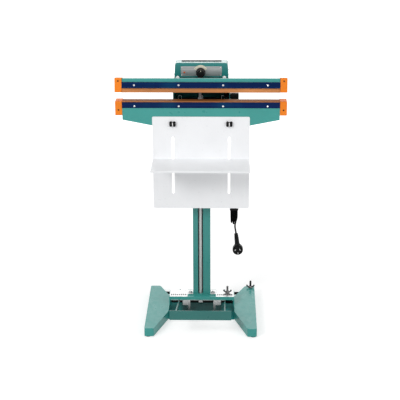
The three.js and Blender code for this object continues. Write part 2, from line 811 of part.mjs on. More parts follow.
function addHead(group) {
  group.add(piece('head_tub', makeHeadTub(), darkTeal));
  group.add(piece('front_skirt', makeSkirt(), teal));
  group.add(piece('hinge_pin', bar('x', -cheekHalfWidth - 2 * headSheet, cheekHalfWidth + 2 * headSheet,
    hingeY, hingeZ, hingeRadius), steel));
  group.add(piece('transformer', makeTransformer(), iron));
  group.add(piece('micro_switch', makeSwitch(), blackPlastic));
  group.add(piece('switch_plunger', bar('z', plungerTopZ - plungerLength, plungerTopZ,
    plungerX, switchY, plungerRadius, 12), orange));
  group.add(piece('cord_gland', makeGland(), blackPlastic));
}

// Jaws
function makeCap(bottomZ, height, side) {
  const points = [[capFrontY, bottomZ], [capRearY, bottomZ], [capRearY, bottomZ + height],
    [capFrontY, bottomZ + height]];
  const innerX = jawHalfLength + clearance;
  const outerX = innerX + capWidth;
  const from = side > 0 ? innerX : -outerX;
  const to = side > 0 ? outerX : -innerX;
  const body = prism(roundedOutline(points, capCornerRadius), 'x', from, to);
  const hollow = prism(roundedOutline(insetOutline(points, capWall), capCornerRadius - capWall / 2), 'x',
    side > 0 ? from - overrun : from + capWall, side > 0 ? to - capWall : to + overrun);
  return cut(body, hollow);
}

const lowerClothBottomZ = lowerJawTopZ + lowerClothLift;
const lowerClothTopZ = lowerClothBottomZ + clothThickness;

function makeLowerCloth() {
  const frontY = jawFrontY - clearance - clothThickness;
  const section = outline([
    [frontY, lowerClothTopZ - lowerClothDrop], [frontY + clothThickness, lowerClothTopZ - lowerClothDrop],
    [frontY + clothThickness, lowerClothBottomZ], [jawRearY, lowerClothBottomZ], [jawRearY, lowerClothTopZ],
    [frontY, lowerClothTopZ],
  ]);
  return prism(section, 'x', -jawHalfLength, jawHalfLength);
}

function addLowerJaw(group) {
  const l = jawHalfLength;
  const capTopZ = lowerClothTopZ - lowerCapDrop;
  group.add(piece('lower_jaw_bar',
    box(-l, l, jawFrontY, jawRearY, headFrontTopZ, lowerJawTopZ), aluminium));
  group.add(piece('lower_rail', box(-l, l, railFrontY, jawFrontY - clearance,
    lowerRailTopZ - lowerRailHeight, lowerRailTopZ), blue));
  group.add(piece('heating_band', box(-l + bandEndMargin, l - bandEndMargin, -bandWidth, 0,
    lowerJawTopZ, lowerJawTopZ + bandThickness), steel));
  group.add(piece('lower_cloth', makeLowerCloth(), cloth));
  group.add(piece('lower_cap_left', makeCap(capTopZ - lowerCapHeight, lowerCapHeight, -1), orange));
  group.add(piece('lower_cap_right', makeCap(capTopZ - lowerCapHeight, lowerCapHeight, 1), orange));
}

// The upper jaw is drawn closed, then its group is turned open about the hinge.
const upperClothBottomZ = lowerClothTopZ + jawContactGap;
const siliconeBottomZ = upperClothBottomZ + clothThickness + clearance;
const upperJawBottomZ = siliconeBottomZ + siliconeHeight + clearance;
const upperJawTopZ = upperJawBottomZ + upperJawHeight;
const upperRailBottomZ = upperClothBottomZ + upperClothRise + upperRailGap;
const upperArmFrontY = jawRearY + clearance;

function makeUpperCloth() {
  const frontY = jawFrontY - clearance - clothThickness;
  const insideY = frontY + clothThickness;
  const rearY = jawRearY - carrierSheet;
  const insideZ = upperClothBottomZ + clothThickness;
  const topZ = upperClothBottomZ + upperClothRise;
  const section = outline([[frontY, upperClothBottomZ], [rearY, upperClothBottomZ], [rearY, insideZ],
    [insideY, insideZ], [insideY, topZ], [frontY, topZ]]);
  return prism(section, 'x', -jawHalfLength, jawHalfLength);
}

function makeCarrier() {
  const bottom = upperJawTopZ + clearance;
  const top = bottom + carrierHeight - carrierSheet / 2;
  const front = jawFrontY + carrierSheet / 2;
  const rear = jawRearY - carrierSheet / 2;
  const section = sheetOutline([[front, bottom], [front, top], [rear, top], [rear, bottom]], carrierSheet);
  return prism(section, 'x', -jawHalfLength, jawHalfLength);
}

function makeUpperArm() {
  const w = armHalfWidth;
  const rearY = hingeY + armRearLength;
  const edgeX = w - armSheet / 2;
  const topZ = armTopZ - armSheet / 2;
  const bottomZ = armTopZ - armFlangeDepth;
  const channel = prism(sheetOutline([[-edgeX, bottomZ], [-edgeX, topZ], [edgeX, topZ], [edgeX, bottomZ]],
    armSheet), 'y', upperArmFrontY, rearY);
  const front = box(-edgeX, edgeX, upperArmFrontY, upperArmFrontY + armSheet,
    armTopZ - armFrontDepth, topZ);
  const reach = w + overrun;
  return cut(join(channel, front),
    bar('x', -reach, reach, hingeY, hingeZ, hingeRadius + runningFit),
    bar('x', -reach, reach, rodY, trunnionZ, trunnionRadius + runningFit),
    bar('z', armTopZ - 2 * armSheet, armTopZ + overrun, rodX, rodY, armRodHoleRadius));
}

function addUpperJaw(group) {
  const l = jawHalfLength;
  const hinge = new THREE.Group();
  const jaw = new THREE.Group();
  hinge.position.set(0, hingeY, hingeZ);
  hinge.rotation.x = -openAngle * degree;
  jaw.position.set(0, -hingeY, -hingeZ);
  hinge.add(jaw);
  group.add(hinge);
  jaw.add(piece('upper_arm', makeUpperArm(), teal));
  jaw.add(piece('upper_jaw_bar',
    box(-l, l, jawFrontY, jawRearY, upperJawBottomZ, upperJawTopZ), aluminium));
  jaw.add(piece('upper_carrier', makeCarrier(), teal));
  jaw.add(piece('upper_rail', box(-l, l, railFrontY, jawFrontY - clearance,
    upperRailBottomZ, upperRailBottomZ + upperRailHeight), blue));
  jaw.add(piece('silicone_strip', box(-l, l, siliconeRearY - siliconeWidth, siliconeRearY,
    siliconeBottomZ, siliconeBottomZ + siliconeHeight), silicone));
  jaw.add(piece('upper_cloth', makeUpperCloth(), cloth));
  const capBottomZ = upperClothBottomZ + clearance;
  jaw.add(piece('upper_cap_left', makeCap(capBottomZ, upperCapHeight, -1), orange));
  jaw.add(piece('upper_cap_right', makeCap(capBottomZ, upperCapHeight, 1), orange));
}

function makeTrunnion() {
  const z = trunnionZ + rise;
  const body = bar('x', -armHalfWidth, armHalfWidth, rodY, z, trunnionRadius);
  return cut(body, bar('z', z - 2 * trunnionRadius, z + 2 * trunnionRadius, rodX, rodY,
    rodThreadRadius + trunnionBoreSlack, 16));
}

// Control box
function boxSolid(wall) {
  const bottom = boxBottomZ - (wall > 0 ? overrun : 0);
  const top = boxBottomZ + boxHeight - wall;
  const slope = (boxBottomHalfWidth - boxTopHalfWidth) / boxHeight;
  const low = boxBottomHalfWidth - wall + (wall > 0 ? overrun * slope : 0);
  const high = boxTopHalfWidth - wall;
  const face = new THREE.Shape();
  face.moveTo(-low, bottom);
  face.lineTo(low, bottom);
  face.lineTo(high + slope * boxCornerRadius, top - boxCornerRadius);
  face.quadraticCurveTo(high, top, high - boxCornerRadius, top);
  face.lineTo(-high + boxCornerRadius, top);
  face.quadraticCurveTo(-high, top, -high - slope * boxCornerRadius, top - boxCornerRadius);
  face.closePath();
  const front = boxFrontY + wall;
  const rear = headRearY - wall;
  const side = outline([
    [front, bottom], [rear, bottom], [rear, boxBottomZ + boxTailHeight - wall],
    [boxFrontY + boxTopDepth, top], [boxFrontY + boxNoseDepth + wall / 2, top],
    [front, boxBottomZ + boxNoseHeight - wall / 2],
  ]);
  return common(prism(face, 'y', front, rear), prism(side, 'x', -boxBottomHalfWidth - wall,
    boxBottomHalfWidth + wall));
}

function frontHole(x, z, radius) {
  return bar('y', boxFrontY - 2 * boxWall, boxFrontY + 2 * boxWall, x, z, radius + runningFit, 16);
}

function makeLabel() {
  const top = labelBottomZ + labelHeight;
  const rear = boxFrontY - clearance;
  const shape = roundedOutline([[-labelHalfWidth, labelBottomZ], [labelHalfWidth, labelBottomZ],
    [labelHalfWidth, top], [-labelHalfWidth, top]], labelCornerRadius);
  return cut(prism(shape, 'y', rear - labelThickness, rear),
    frontHole(knobX, knobZ, knobShaftRadius), frontHole(lampX, knobZ, lampRadius));
}

function makeKnob() {
  const rear = boxFrontY - 2 * clearance - labelThickness;
  const flange = bar('y', rear - knobFlangeDepth, rear, knobX, knobZ, knobRadius, 28);
  const steps = knobFluteCount * 2;
  const points = Array.from({ length: steps }, (_, index) => {
    const angle = index / steps * 2 * Math.PI;
    const radius = knobGripRadius - (index % 2) * knobFluteDepth;
    return [knobX + radius * Math.cos(angle), knobZ + radius * Math.sin(angle)];
  });
  const gripRear = rear - knobFlangeDepth / 2;
  const grip = prism(outline(points), 'y', rear - knobFlangeDepth - knobGripDepth, gripRear);
  const shaft = bar('y', gripRear, rear + knobShaftLength, knobX, knobZ, knobShaftRadius, 16);
  return join(flange, grip, shaft);
}

function makeBoard() {
  const bottom = boxBottomZ + clearance;
  const sheet = box(-boardHalfWidth, boardHalfWidth, boardY, boardY + boardThickness,
    bottom, bottom + boardHeight);
  const pot = bar('y', boardY - potDepth, boardY + boardThickness / 2, knobX, knobZ, potRadius, 16);
  const bore = bar('y', boardY - potDepth - overrun, boardY + overrun, knobX, knobZ,
    knobShaftRadius + runningFit, 16);
  return cut(join(sheet, pot), bore);
}

function addControlBox(group) {
  const cover = cut(boxSolid(0), boxSolid(boxWall),
    frontHole(knobX, knobZ, knobShaftRadius), frontHole(lampX, knobZ, lampRadius));
  group.add(piece('control_base', box(-boxBottomHalfWidth, boxBottomHalfWidth, boxFrontY, headRearY,
    cheekTopZ, boxBottomZ), darkTeal));
  group.add(piece('control_cover', cover, darkTeal));
  group.add(piece('label_plate', makeLabel(), aluminium));
  group.add(piece('timer_board', makeBoard(), board));
  group.add(piece('timer_knob', makeKnob(), blackPlastic));
  group.add(piece('indicator_lamp', bar('y', boxFrontY - lampFront, boxFrontY + lampRear,
    lampX, knobZ, lampRadius, 16), orange));
}

// Tray
function makeTrayPlate() {
  const rear = trayFrontY + trayThickness;
  const shape = roundedOutline([[-trayHalfWidth, trayBottomZ], [trayHalfWidth, trayBottomZ],
    [trayHalfWidth, trayTopZ], [-trayHalfWidth, trayTopZ]], trayCornerRadius);
  const half = traySlotWidth / 2;
  const tools = [-1, 1].flatMap((side) => {
    const x = side * traySlotX;
    const slot = box(x - half, x + half, trayFrontY - overrun, rear + overrun,
      traySlotBottomZ + half, traySlotTopZ - half);
    const ends = [traySlotBottomZ + half, traySlotTopZ - half].map((z) =>
      bar('y', trayFrontY - overrun, rear + overrun, x, z, half, 16));
    const screw = bar('y', trayFrontY - overrun, rear + overrun, side * trayScrewX, trayScrewZ,
      trayScrewRadius + runningFit, 12);
    return [slot, ...ends, screw];
  });
  return cut(prism(shape, 'y', trayFrontY, rear), ...tools);
}

function makeTrayScrew(side) {
  const x = side * trayScrewX;
  const rear = trayFrontY - clearance;
  const hub = bar('y', rear - trayHubDepth, rear, x, trayScrewZ, trayHubRadius, 16);
  const shaft = bar('y', rear - trayHubDepth / 2, headFrontY - clearance,
    x, trayScrewZ, trayScrewRadius, 12);
  const bottom = trayScrewZ - trayWingHeight / 2;
  const top = trayScrewZ + trayWingHeight / 2;
  const wings = [-trayWingOffset, trayWingOffset].map((offset) => {
    const left = x + offset - trayWingWidth / 2;
    const right = x + offset + trayWingWidth / 2;
    const corners = [[left, bottom], [right, bottom], [right, top], [left, top]];
    const face = roundedOutline(corners, trayWingWidth * trayWingRoundShare);
    return prism(face, 'y', rear - trayHubDepth, rear - trayHubDepth + trayWingDepth);
  });
  return join(hub, shaft, ...wings);
}

function makeShelf() {
  const w = trayHalfWidth;
  const rear = trayFrontY - clearance;
  const front = rear - shelfDepth;
  const half = shelfThickness / 2;
  const top = shelfTopZ - half;
  const sheet = prism(sheetOutline([[front + half, shelfTopZ - shelfLipHeight], [front + half, top],
    [rear - half, top], [rear - half, shelfTopZ - shelfFlangeHeight]], shelfThickness), 'x', -w, w);
  const screwZ = shelfTopZ - shelfScrewDrop;
  const nutFront = trayFrontY + trayThickness + clearance;
  const screws = [-traySlotX, traySlotX].flatMap((x) => [
    bar('y', rear - shelfThickness - shelfHeadDepth, rear - half, x, screwZ, shelfHeadRadius, 16),
    bar('y', rear - half, nutFront + half, x, screwZ, shelfScrewRadius, 12),
    bar('y', nutFront, nutFront + shelfNutDepth, x, screwZ, shelfNutRadius, nutSides),
  ]);
  return join(sheet, ...screws);
}

function addTray(group) {
  group.add(piece('tray_plate', makeTrayPlate(), white));
  group.add(piece('tray_screw_left', makeTrayScrew(-1), blackPlastic));
  group.add(piece('tray_screw_right', makeTrayScrew(1), blackPlastic));
  group.add(piece('tray_shelf', makeShelf(), white));
}

// Cord
function tubeAlong(points, radius, sides) {
  const frames = points.map((point, index) => {
    const before = points[Math.max(index - 1, 0)];
    const after = points[Math.min(index + 1, points.length - 1)];
    return after.clone().sub(before).normalize();
  });
  let across = new THREE.Vector3(0, 1, 0);
  const positions = [];
  points.forEach((point, index) => {
    across = across.clone().addScaledVector(frames[index], -across.dot(frames[index])).normalize();
    const other = frames[index].clone().cross(across);
    for (let side = 0; side < sides; side += 1) {
      const angle = side / sides * 2 * Math.PI;
      const rim = point.clone().addScaledVector(across, radius * Math.cos(angle))
        .addScaledVector(other, radius * Math.sin(angle));
      positions.push(rim.x, rim.y, rim.z);
    }
  });
  const index = [];
  const last = (points.length - 1) * sides;
  for (let ring = 0; ring < points.length - 1; ring += 1) {
    for (let side = 0; side < sides; side += 1) {
      const a = ring * sides + side;
      const b = ring * sides + (side + 1) % sides;
      index.push(a, b, b + sides, a, b + sides, a + sides);
    }
  }
  for (let side = 1; side < sides - 1; side += 1) {
    index.push(0, side + 1, side);
    index.push(last, last + side, last + side + 1);
  }
  const geometry = new THREE.BufferGeometry();
  geometry.setAttribute('position', new THREE.Float32BufferAttribute(positions, 3));
  geometry.setIndex(index);
  geometry.computeVertexNormals();
  return geometry;
}

function routePoints(route) {
  return route.map(([x, y, z]) => new THREE.Vector3(x, y, z));
}

function makeStretch(route) {
  const points = routePoints(route);
  const curve = new THREE.CatmullRomCurve3(points, false, 'centripetal');
  const section = new THREE.Shape(Array.from({ length: cordSides }, (_, side) => {
    const angle = side / cordSides * 2 * Math.PI;
    return new THREE.Vector2(cordRadius * Math.cos(angle), cordRadius * Math.sin(angle));
  }));
  const steps = Math.round(curve.getLength() / cordRingSpacing);
  return new THREE.ExtrudeGeometry(section, { extrudePath: curve, steps, bevelEnabled: false });
}

// One point of the hank: upright loops side by side, each stepping across along its front run.
function hankPoint(turn) {
  const phase = turn % 1;
  const runShare = 1 / 8;
  const foldShare = 1 / 4;
  const stagger = 1 - hankStaggerShare * (2 * turn / hankLoops - 1) ** 2;
  const run = (share) => share * stagger * (share < 0 ? hankLowerRun : hankUpperRun);
  let side = 1;
  let height = 0;
  let fold = 0;
  let climb = 0;
  if (phase <= runShare) height = -phase / runShare;
  else if (phase < 1 / 2 - runShare) {
    const angle = (phase - runShare) / foldShare * Math.PI;
    side = Math.cos(angle);
    height = -1;
    fold = -Math.sin(angle);
  } else if (phase <= 1 / 2 + runShare) {
    side = -1;
    height = (phase - 1 / 2) / runShare;
    climb = THREE.MathUtils.smoothstep(height, -1, 1);
  } else if (phase < 1 - runShare) {
    const angle = (phase - 1 / 2 - runShare) / foldShare * Math.PI;
    side = -Math.cos(angle);
    height = 1;
    fold = Math.sin(angle);
    climb = 1;
  } else {
    height = (1 - phase) / runShare;
    climb = 1;
  }
  const waist = Math.cos(height * Math.PI / 2) ** 2;
  return new THREE.Vector3(hankX + (Math.floor(turn) + climb - hankLoops / 2) * hankPitch,
    hankY + side * hankFoldRadius * (1 - hankWaistShare * waist),
    hankZ + run(height) + fold * hankFoldRadius);
}

function hankLine() {
  const steps = hankLoops * hankSteps;
  const points = Array.from({ length: steps + 1 }, (_, index) => hankPoint(index / hankSteps));
  const first = points[0];
  const last = points[steps];
  points.splice(1, 0, first.clone().setZ(first.z - 2 * cordRadius));
  points.splice(points.length - 1, 0, last.clone().setZ(last.z + 2 * cordRadius));
  return points;
}

function leastHankGap() {
  const points = hankLine();
  let travelled = 0;
  const along = points.map((point, index) => {
    if (index > 0) travelled += point.distanceTo(points[index - 1]);
    return travelled;
  });
  let least = Infinity;
  const segment = new THREE.Line3();
  const near = new THREE.Vector3();
  for (let i = 0; i < points.length; i += 1) {
    for (let j = 0; j < points.length - 1; j += 1) {
      const apart = Math.min(Math.abs(along[j] - along[i]), Math.abs(along[j + 1] - along[i]));
      if (apart > hankNeighbourReach) {
        segment.set(points[j], points[j + 1]);
        segment.closestPointToPoint(points[i], true, near);
        least = Math.min(least, near.distanceTo(points[i]));
      }
    }
  }
  return least - 2 * cordRadius;
}

function makeTie() {
  const tieZ = hankZ - tieHeight / 2;
  const frame = (grow) => {
    const halfX = hankLoops * hankPitch / 2 + cordRadius + tieSlack + grow;
    const halfY = hankFoldRadius * (1 - hankWaistShare) + cordRadius + tieSlack + grow;
    return roundedOutline([[hankX - halfX, hankY - halfY], [hankX + halfX, hankY - halfY],
      [hankX + halfX, hankY + halfY], [hankX - halfX, hankY + halfY]], tieCornerRadius);
  };
  const outer = prism(frame(tieThickness), 'z', tieZ, tieZ + tieHeight);
  return cut(outer, prism(frame(0), 'z', tieZ - overrun, tieZ + tieHeight + overrun));
}

function makePlug() {
  const half = plugDepth / 2;
  const disc = bar('y', -half, half, 0, 0, plugRadius, 28);
  const handle = bar('z', 0, plugHandleLength, 0, 0, plugHandleRadius, 16, plugHandleTopRadius);
  const blade = (dx, dz, tilt) => {
    const geometry = new THREE.BoxGeometry(bladeThickness, bladeLength + overrun, bladeWidth);
    geometry.rotateY(tilt * degree);
    return geometry.translate(dx, -half - (bladeLength - overrun) / 2, dz);
  };
  const whole = join(disc, handle, blade(-bladeSpread, bladeRise, bladeTilt),
    blade(bladeSpread, bladeRise, -bladeTilt), blade(0, -bladeEarthDrop, 0));
  return whole.rotateY(-plugTilt * degree).translate(plugX, plugY, plugZ);
}

function addCord(group) {
  group.add(piece('cord_lead', makeStretch(cordLeadRoute), jacket));
  group.add(piece('cord_hank', tubeAlong(hankLine(), cordRadius, hankSides), jacket));
  group.add(piece('cord_tail', makeStretch(cordTailRoute), jacket));
  group.add(piece('cord_tie', makeTie(), blackPlastic));
  group.add(piece('plug', makePlug(), blackPlastic));
}

console.log(`least gap of the hank to itself: ${leastHankGap().toFixed(2)} mm`);

const sealer = new THREE.Group();
const machine = new THREE.Group();
machine.position.y = -(pedalBarY - pedalSheet / 2 + headRearY) / 2;
sealer.add(machine);
addBase(machine);
machine.add(piece('column', makeColumn(), teal));
addRod(machine);
addPedal(machine);
addHead(machine);
addLowerJaw(machine);
addUpperJaw(machine);
machine.add(piece('rod_trunnion', makeTrunnion(), steel));
addControlBox(machine);
addTray(machine);
addCord(machine);

export default sealer;
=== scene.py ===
"""Looks of a foot pedal impulse sealer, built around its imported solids.

Laid out as an add-on and run as a script. Pieces are drawn in millimetres and made in metres.
"""

import json
import math

import bmesh
import bpy
from bpy.props import FloatProperty, FloatVectorProperty, IntProperty, PointerProperty
from mathutils import Matrix, Vector


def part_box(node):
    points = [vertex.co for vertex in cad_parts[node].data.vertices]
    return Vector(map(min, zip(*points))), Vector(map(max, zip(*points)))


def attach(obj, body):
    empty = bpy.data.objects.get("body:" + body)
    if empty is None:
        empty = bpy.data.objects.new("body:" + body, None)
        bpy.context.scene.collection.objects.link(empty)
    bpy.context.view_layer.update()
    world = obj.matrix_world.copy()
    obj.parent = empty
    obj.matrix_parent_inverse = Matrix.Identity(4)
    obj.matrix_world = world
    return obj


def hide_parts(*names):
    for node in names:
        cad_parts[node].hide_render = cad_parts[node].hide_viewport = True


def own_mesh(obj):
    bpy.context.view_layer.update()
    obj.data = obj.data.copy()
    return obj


bl_info = {
    "name": "Foot pedal sealer",
    "version": (1, 0, 0),
    "blender": (4, 5, 0),
    "location": "View3D > Sidebar > Sealer",
    "description": "Dresses the solids of a foot pedal impulse sealer",
    "category": "Add Mesh",
}

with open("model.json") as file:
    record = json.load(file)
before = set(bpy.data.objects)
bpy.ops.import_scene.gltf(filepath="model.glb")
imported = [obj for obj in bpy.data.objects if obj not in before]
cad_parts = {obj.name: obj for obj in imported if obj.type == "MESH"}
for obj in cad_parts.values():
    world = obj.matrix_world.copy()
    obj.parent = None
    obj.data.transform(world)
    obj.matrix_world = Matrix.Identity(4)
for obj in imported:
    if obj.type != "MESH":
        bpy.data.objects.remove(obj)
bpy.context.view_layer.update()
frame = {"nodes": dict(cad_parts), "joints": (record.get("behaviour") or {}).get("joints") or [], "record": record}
JOINTS = {joint["name"]: joint for joint in frame["joints"]}
BODIES = {node: body for body, nodes in frame["record"]["behaviour"]["bodies"].items() for node in nodes}
MM = 0.001


# Settings


def colour(label, red, green, blue):
    return FloatVectorProperty(
        name=label, description=f"Colour of the {label.lower()}", subtype="COLOR_GAMMA",
        size=3, min=0, max=1, default=(red / 255, green / 255, blue / 255))


def length_mm(label, text, default):
    return FloatProperty(name=label, description=f"{text}, in mm", default=default, min=0.01)


def length_m(label, text, default):
    return FloatProperty(name=label, description=text, default=default, unit="LENGTH")


def whole(label, text, default, least, most):
    return IntProperty(name=label, description=text, default=default, min=least, max=most)


def degrees(label, text, default):
    return FloatProperty(name=label, description=text, default=math.radians(default), subtype="ANGLE")


def watts(label, text, default):
    return FloatProperty(name=label, description=text, default=default, unit="POWER")


class SealerPaint(bpy.types.PropertyGroup):
    """Colours of the painted and moulded parts."""

    enamel: colour("Enamel", 61, 155, 148)
    dark_enamel: colour("Dark enamel", 34, 124, 121)
    rail: colour("Jaw rail", 3, 30, 74)
    tray: colour("Tray paint", 246, 247, 249)
    cap: colour("End cap", 250, 138, 44)
    cloth: colour("Release cloth", 188, 124, 76)
    black: colour("Black plastic", 11, 11, 12)
    dial: colour("Dial plate", 226, 220, 198)


class SealerEdges(bpy.types.PropertyGroup):
    """Rounding of the sheet-metal and moulded edges."""

    sheet: length_mm("Sheet edge", "Rounding of a cut sheet edge", 0.6)
    pressed: length_mm("Pressed edge", "Rounding of a pressed corner", 2.0)
    moulded: length_mm("Moulded edge", "Rounding of a moulded corner", 1.2)
    machined: length_mm("Machined edge", "Rounding of a machined edge", 0.35)
    segments: whole("Segments", "Steps across a rounded edge", 3, 1, 6)


class SealerFasteners(bpy.types.PropertyGroup):
    """Sizes of the screws, bolts and rivets."""

    rail_screw: length_mm("Rail screw", "Radius of a rail screw's head", 3.0)
    bolt: length_mm("Bolt", "Radius of a hexagon head", 6.0)
    rivet: length_mm("Rivet", "Radius of a plate rivet", 1.5)
    rail_screws: whole("Rail screws", "Screws along each jaw rail", 4, 2, 8)


class SealerCord(bpy.types.PropertyGroup):
    """Facts of the mains lead."""

    length: length_m("Length", "Real length of the lead", 1.27)
    diameter: length_m("Diameter", "Diameter of the jacket", 0.0056)
    loops: whole("Loops", "Loops in the tied hank", 3, 1, 6)


class SealerStage(bpy.types.PropertyGroup):
    """Camera and light."""

    lens: length_mm("Lens", "Focal length on a 36 mm sensor", 95.7)
    tilt: degrees("Tilt", "Camera's pitch below the horizon", 19.03)
    heading: degrees("Heading", "Camera's turn about the upright axis", 1.37)
    roll: degrees("Roll", "Camera's turn about its own line of sight", -0.21)
    key: watts("Key light", "Power of the soft key light", 65.0)
    fill: watts("Fill light", "Power of the soft fill light", 26.0)
    back: watts("Back light", "Power of the panel behind", 13.0)
    sky: FloatProperty(name="Sky", description="Strength of the room's light", default=0.55, min=0)


def settings(group):
    return getattr(bpy.context.scene, "sealer_" + group)


# Finishes


def add_node(tree, kind, inputs=None, **choices):
    """A new node. Its inputs, by name or place, take values or the outputs of other nodes."""
    node = tree.nodes.new(kind)
    for name, value in choices.items():
        setattr(node, name, value)
    for name, value in (inputs or {}).items():
        if isinstance(value, bpy.types.NodeSocket):
            tree.links.new(value, node.inputs[name])
        else:
            node.inputs[name].default_value = value
    return node


def linear(values):
    return tuple(v / 12.92 if v <= 0.04045 else ((v + 0.055) / 1.055) ** 2.4 for v in values)


def grey(value):
    return (value / 255,) * 3


def shade(values, factor):
    return tuple(min(v * factor, 1.0) for v in values)


# Sockets that a Mix node has for colours
MIX_SHARE, MIX_UNDER, MIX_OVER, MIX_RESULT = 0, 6, 7, 2


class Finish:
    """A procedural material: one Principled shader fed by patterns on Object coordinates."""

    def __init__(self, name, color, roughness, **sockets):
        material = bpy.data.materials.new(name)
        material.use_nodes = True
        self.tree = material.node_tree
        self.shader = self.tree.nodes["Principled BSDF"].inputs
        self.place = self.add("TexCoord").outputs["Object"]
        self.shader["Base Color"].default_value = (*linear(color), 1)
        self.shader["Roughness"].default_value = roughness
        for socket, value in sockets.items():
            self.shader[socket.replace("_", " ")].default_value = value

    def add(self, kind, inputs=None, **choices):
        return add_node(self.tree, "ShaderNode" + kind, inputs, **choices)

    def noise(self, scale, detail, stretch=(1, 1, 1)):
        place = self.add("Mapping", {"Vector": self.place, "Scale": stretch}).outputs["Vector"]
        return self.add("TexNoise", {"Vector": place, "Scale": scale, "Detail": detail}).outputs["Fac"]

    def bands(self, direction, period, profile="SIN"):
        scale = 2 * math.pi / (20 * period)
        wave = self.add("TexWave", {"Vector": self.place, "Scale": scale, "Distortion": 0.0},
                        bands_direction=direction, wave_profile=profile)
        return wave.outputs["Fac"]

    def edges(self, radius=0.0015):
        """1 within a small radius of an edge, 0 on the flats."""
        rounded_normal = self.add("Bevel", {"Radius": radius}, samples=6).outputs["Normal"]
        flat_normal = self.add("NewGeometry").outputs["Normal"]
        match = self.add("VectorMath", {0: rounded_normal, 1: flat_normal}, operation="DOT_PRODUCT")
        return self.span(match.outputs["Value"], 0.86, 0.99, 1, 0)

    def facing_up(self, low, high, share):
        """A share on level tops, 0 on walls."""
        parts = self.add("SeparateXYZ", {"Vector": self.add("NewGeometry").outputs["Normal"]})
        return self.span(parts.outputs["Z"], low, high, 0, share)

    def span(self, value, low, high, to_low=0.0, to_high=1.0):
        limits = {"Value": value, "From Min": low, "From Max": high, "To Min": to_low, "To Max": to_high}
        return self.add("MapRange", limits).outputs["Result"]

    def both(self, first, second, operation="MULTIPLY"):
        return self.add("Math", {0: first, 1: second}, operation=operation).outputs[0]

    def patches(self, noise, limits, share):
        """Up to a share, where a noise of (scale, detail, stretch) rises from one limit to the other."""
        return self.span(self.noise(*noise), *limits, 0, share)

    def tint(self, share, color):
        """Lays a share of a colour over the one that is there."""
        base = self.shader["Base Color"]
        under = base.links[0].from_socket if base.is_linked else base.default_value
        mix = self.add("Mix", {MIX_SHARE: share, MIX_UNDER: under, MIX_OVER: (*linear(color), 1)},
                       data_type="RGBA")
        self.tree.links.new(mix.outputs[MIX_RESULT], base)

    def mottle(self, noise, limits, share, color):
        self.tint(self.patches(noise, limits, share), color)

    def gloss(self, pattern, low, high):
        self.tree.links.new(self.span(pattern, 0.3, 0.7, low, high), self.shader["Roughness"])

    def relief(self, height, depth, strength):
        bump = self.add("Bump", {"Height": height, "Strength": strength, "Distance": depth})
        self.tree.links.new(bump.outputs["Normal"], self.shader["Normal"])


def enamel(name, color, painted_glare=0.0):
    """Stove enamel: a faint orange peel, slow mottling, lighter edges of rubbed wear and painted highlight, and a
    painted glare on the tops where asked.
    """
    made = Finish(name, color, 0.32, Specular_IOR_Level=0.42)
    made.mottle((7, 4), (0.4, 0.75), 0.4, shade(color, 0.88))
    made.mottle((420, 5), (0.6, 0.8), 0.16, shade(color, 0.88))
    # Lighter edges: part rubbed wear, part a painted highlight along them.
    made.tint(made.both(made.edges(), made.patches((130, 4), (0.4, 0.62), 0.6)), shade(color, 1.3))
    # Painted glare: level tops are tinted pale, standing in for the light they catch.
    if painted_glare:
        made.tint(made.facing_up(0.8, 0.96, painted_glare), (0.88, 0.96, 0.95))
    made.gloss(made.noise(60, 4), 0.26, 0.38)
    made.relief(made.noise(520, 2), 0.0003, 0.08)


def pan_enamel(name, color):
    """Paint of the open pan, darker in its middle under the bridge and the pull rod, which is painted shade."""
    made = Finish(name, color, 0.6, Specular_IOR_Level=0.07)
    across = made.add("SeparateXYZ", {"Vector": made.place}).outputs["X"]
    aside = made.add("Math", {0: across}, operation="ABSOLUTE").outputs[0]
    made.mottle((22, 5), (0.5, 0.8), 0.4, shade(color, 1.25))
    # Painted shade: the middle of the pan, under the bridge, is darkened.
    made.tint(made.span(aside, 0.062, 0.08, 0.8, 0), shade(color, 0.3))
    made.mottle((260, 3), (0.62, 0.75), 0.3, grey(70))
    made.relief(made.noise(400, 2), 0.0003, 0.2)


def powder_coat(name, color):
    made = Finish(name, color, 0.4)
    made.mottle((14, 4), (0.45, 0.75), 0.3, shade(color, 0.95))
    made.mottle((150, 3), (0.66, 0.74), 0.25, shade(color, 0.82))
    made.gloss(made.noise(80, 3), 0.36, 0.5)
    made.relief(made.noise(900, 2), 0.0003, 0.12)


def anodised(name, color):
    """Anodised rail: drawn lines along its length under a clear gloss."""
    made = Finish(name, color, 0.24, Specular_IOR_Level=0.07)
    lines = made.noise(260, 3, (0.012, 1, 1))
    made.tint(made.span(lines, 0.4, 0.7, 0, 0.5), shade(color, 1.4))
    made.mottle((9, 3, (1, 0.2, 0.2)), (0.48, 0.72), 0.6, (0.03, 0.3, 0.42))
    made.gloss(lines, 0.18, 0.32)
    made.relief(lines, 0.0002, 0.12)


def metal(name, value, roughness, stretch=(1, 1, 1), spangle=0.0, metallic=1.0):
    """Bare or plated metal with drawn or turned lines, and a zinc spangle where asked."""
    made = Finish(name, grey(value), roughness, Metallic=metallic)
    lines = made.noise(420, 3, stretch)
    made.tint(made.span(lines, 0.35, 0.7, 0, 0.45), grey(value * 0.72))
    if spangle:
        cells = made.add("TexVoronoi", {"Vector": made.place, "Scale": spangle}).outputs["Color"]
        made.tint(made.span(cells, 0.2, 0.9, 0, 0.3), grey(min(value * 1.2, 250)))
    made.mottle((35, 5), (0.6, 0.8), 0.3, grey(value * 0.6))
    made.gloss(lines, roughness * 0.8, roughness * 1.3)
    made.relief(lines, 0.0002, 0.15)


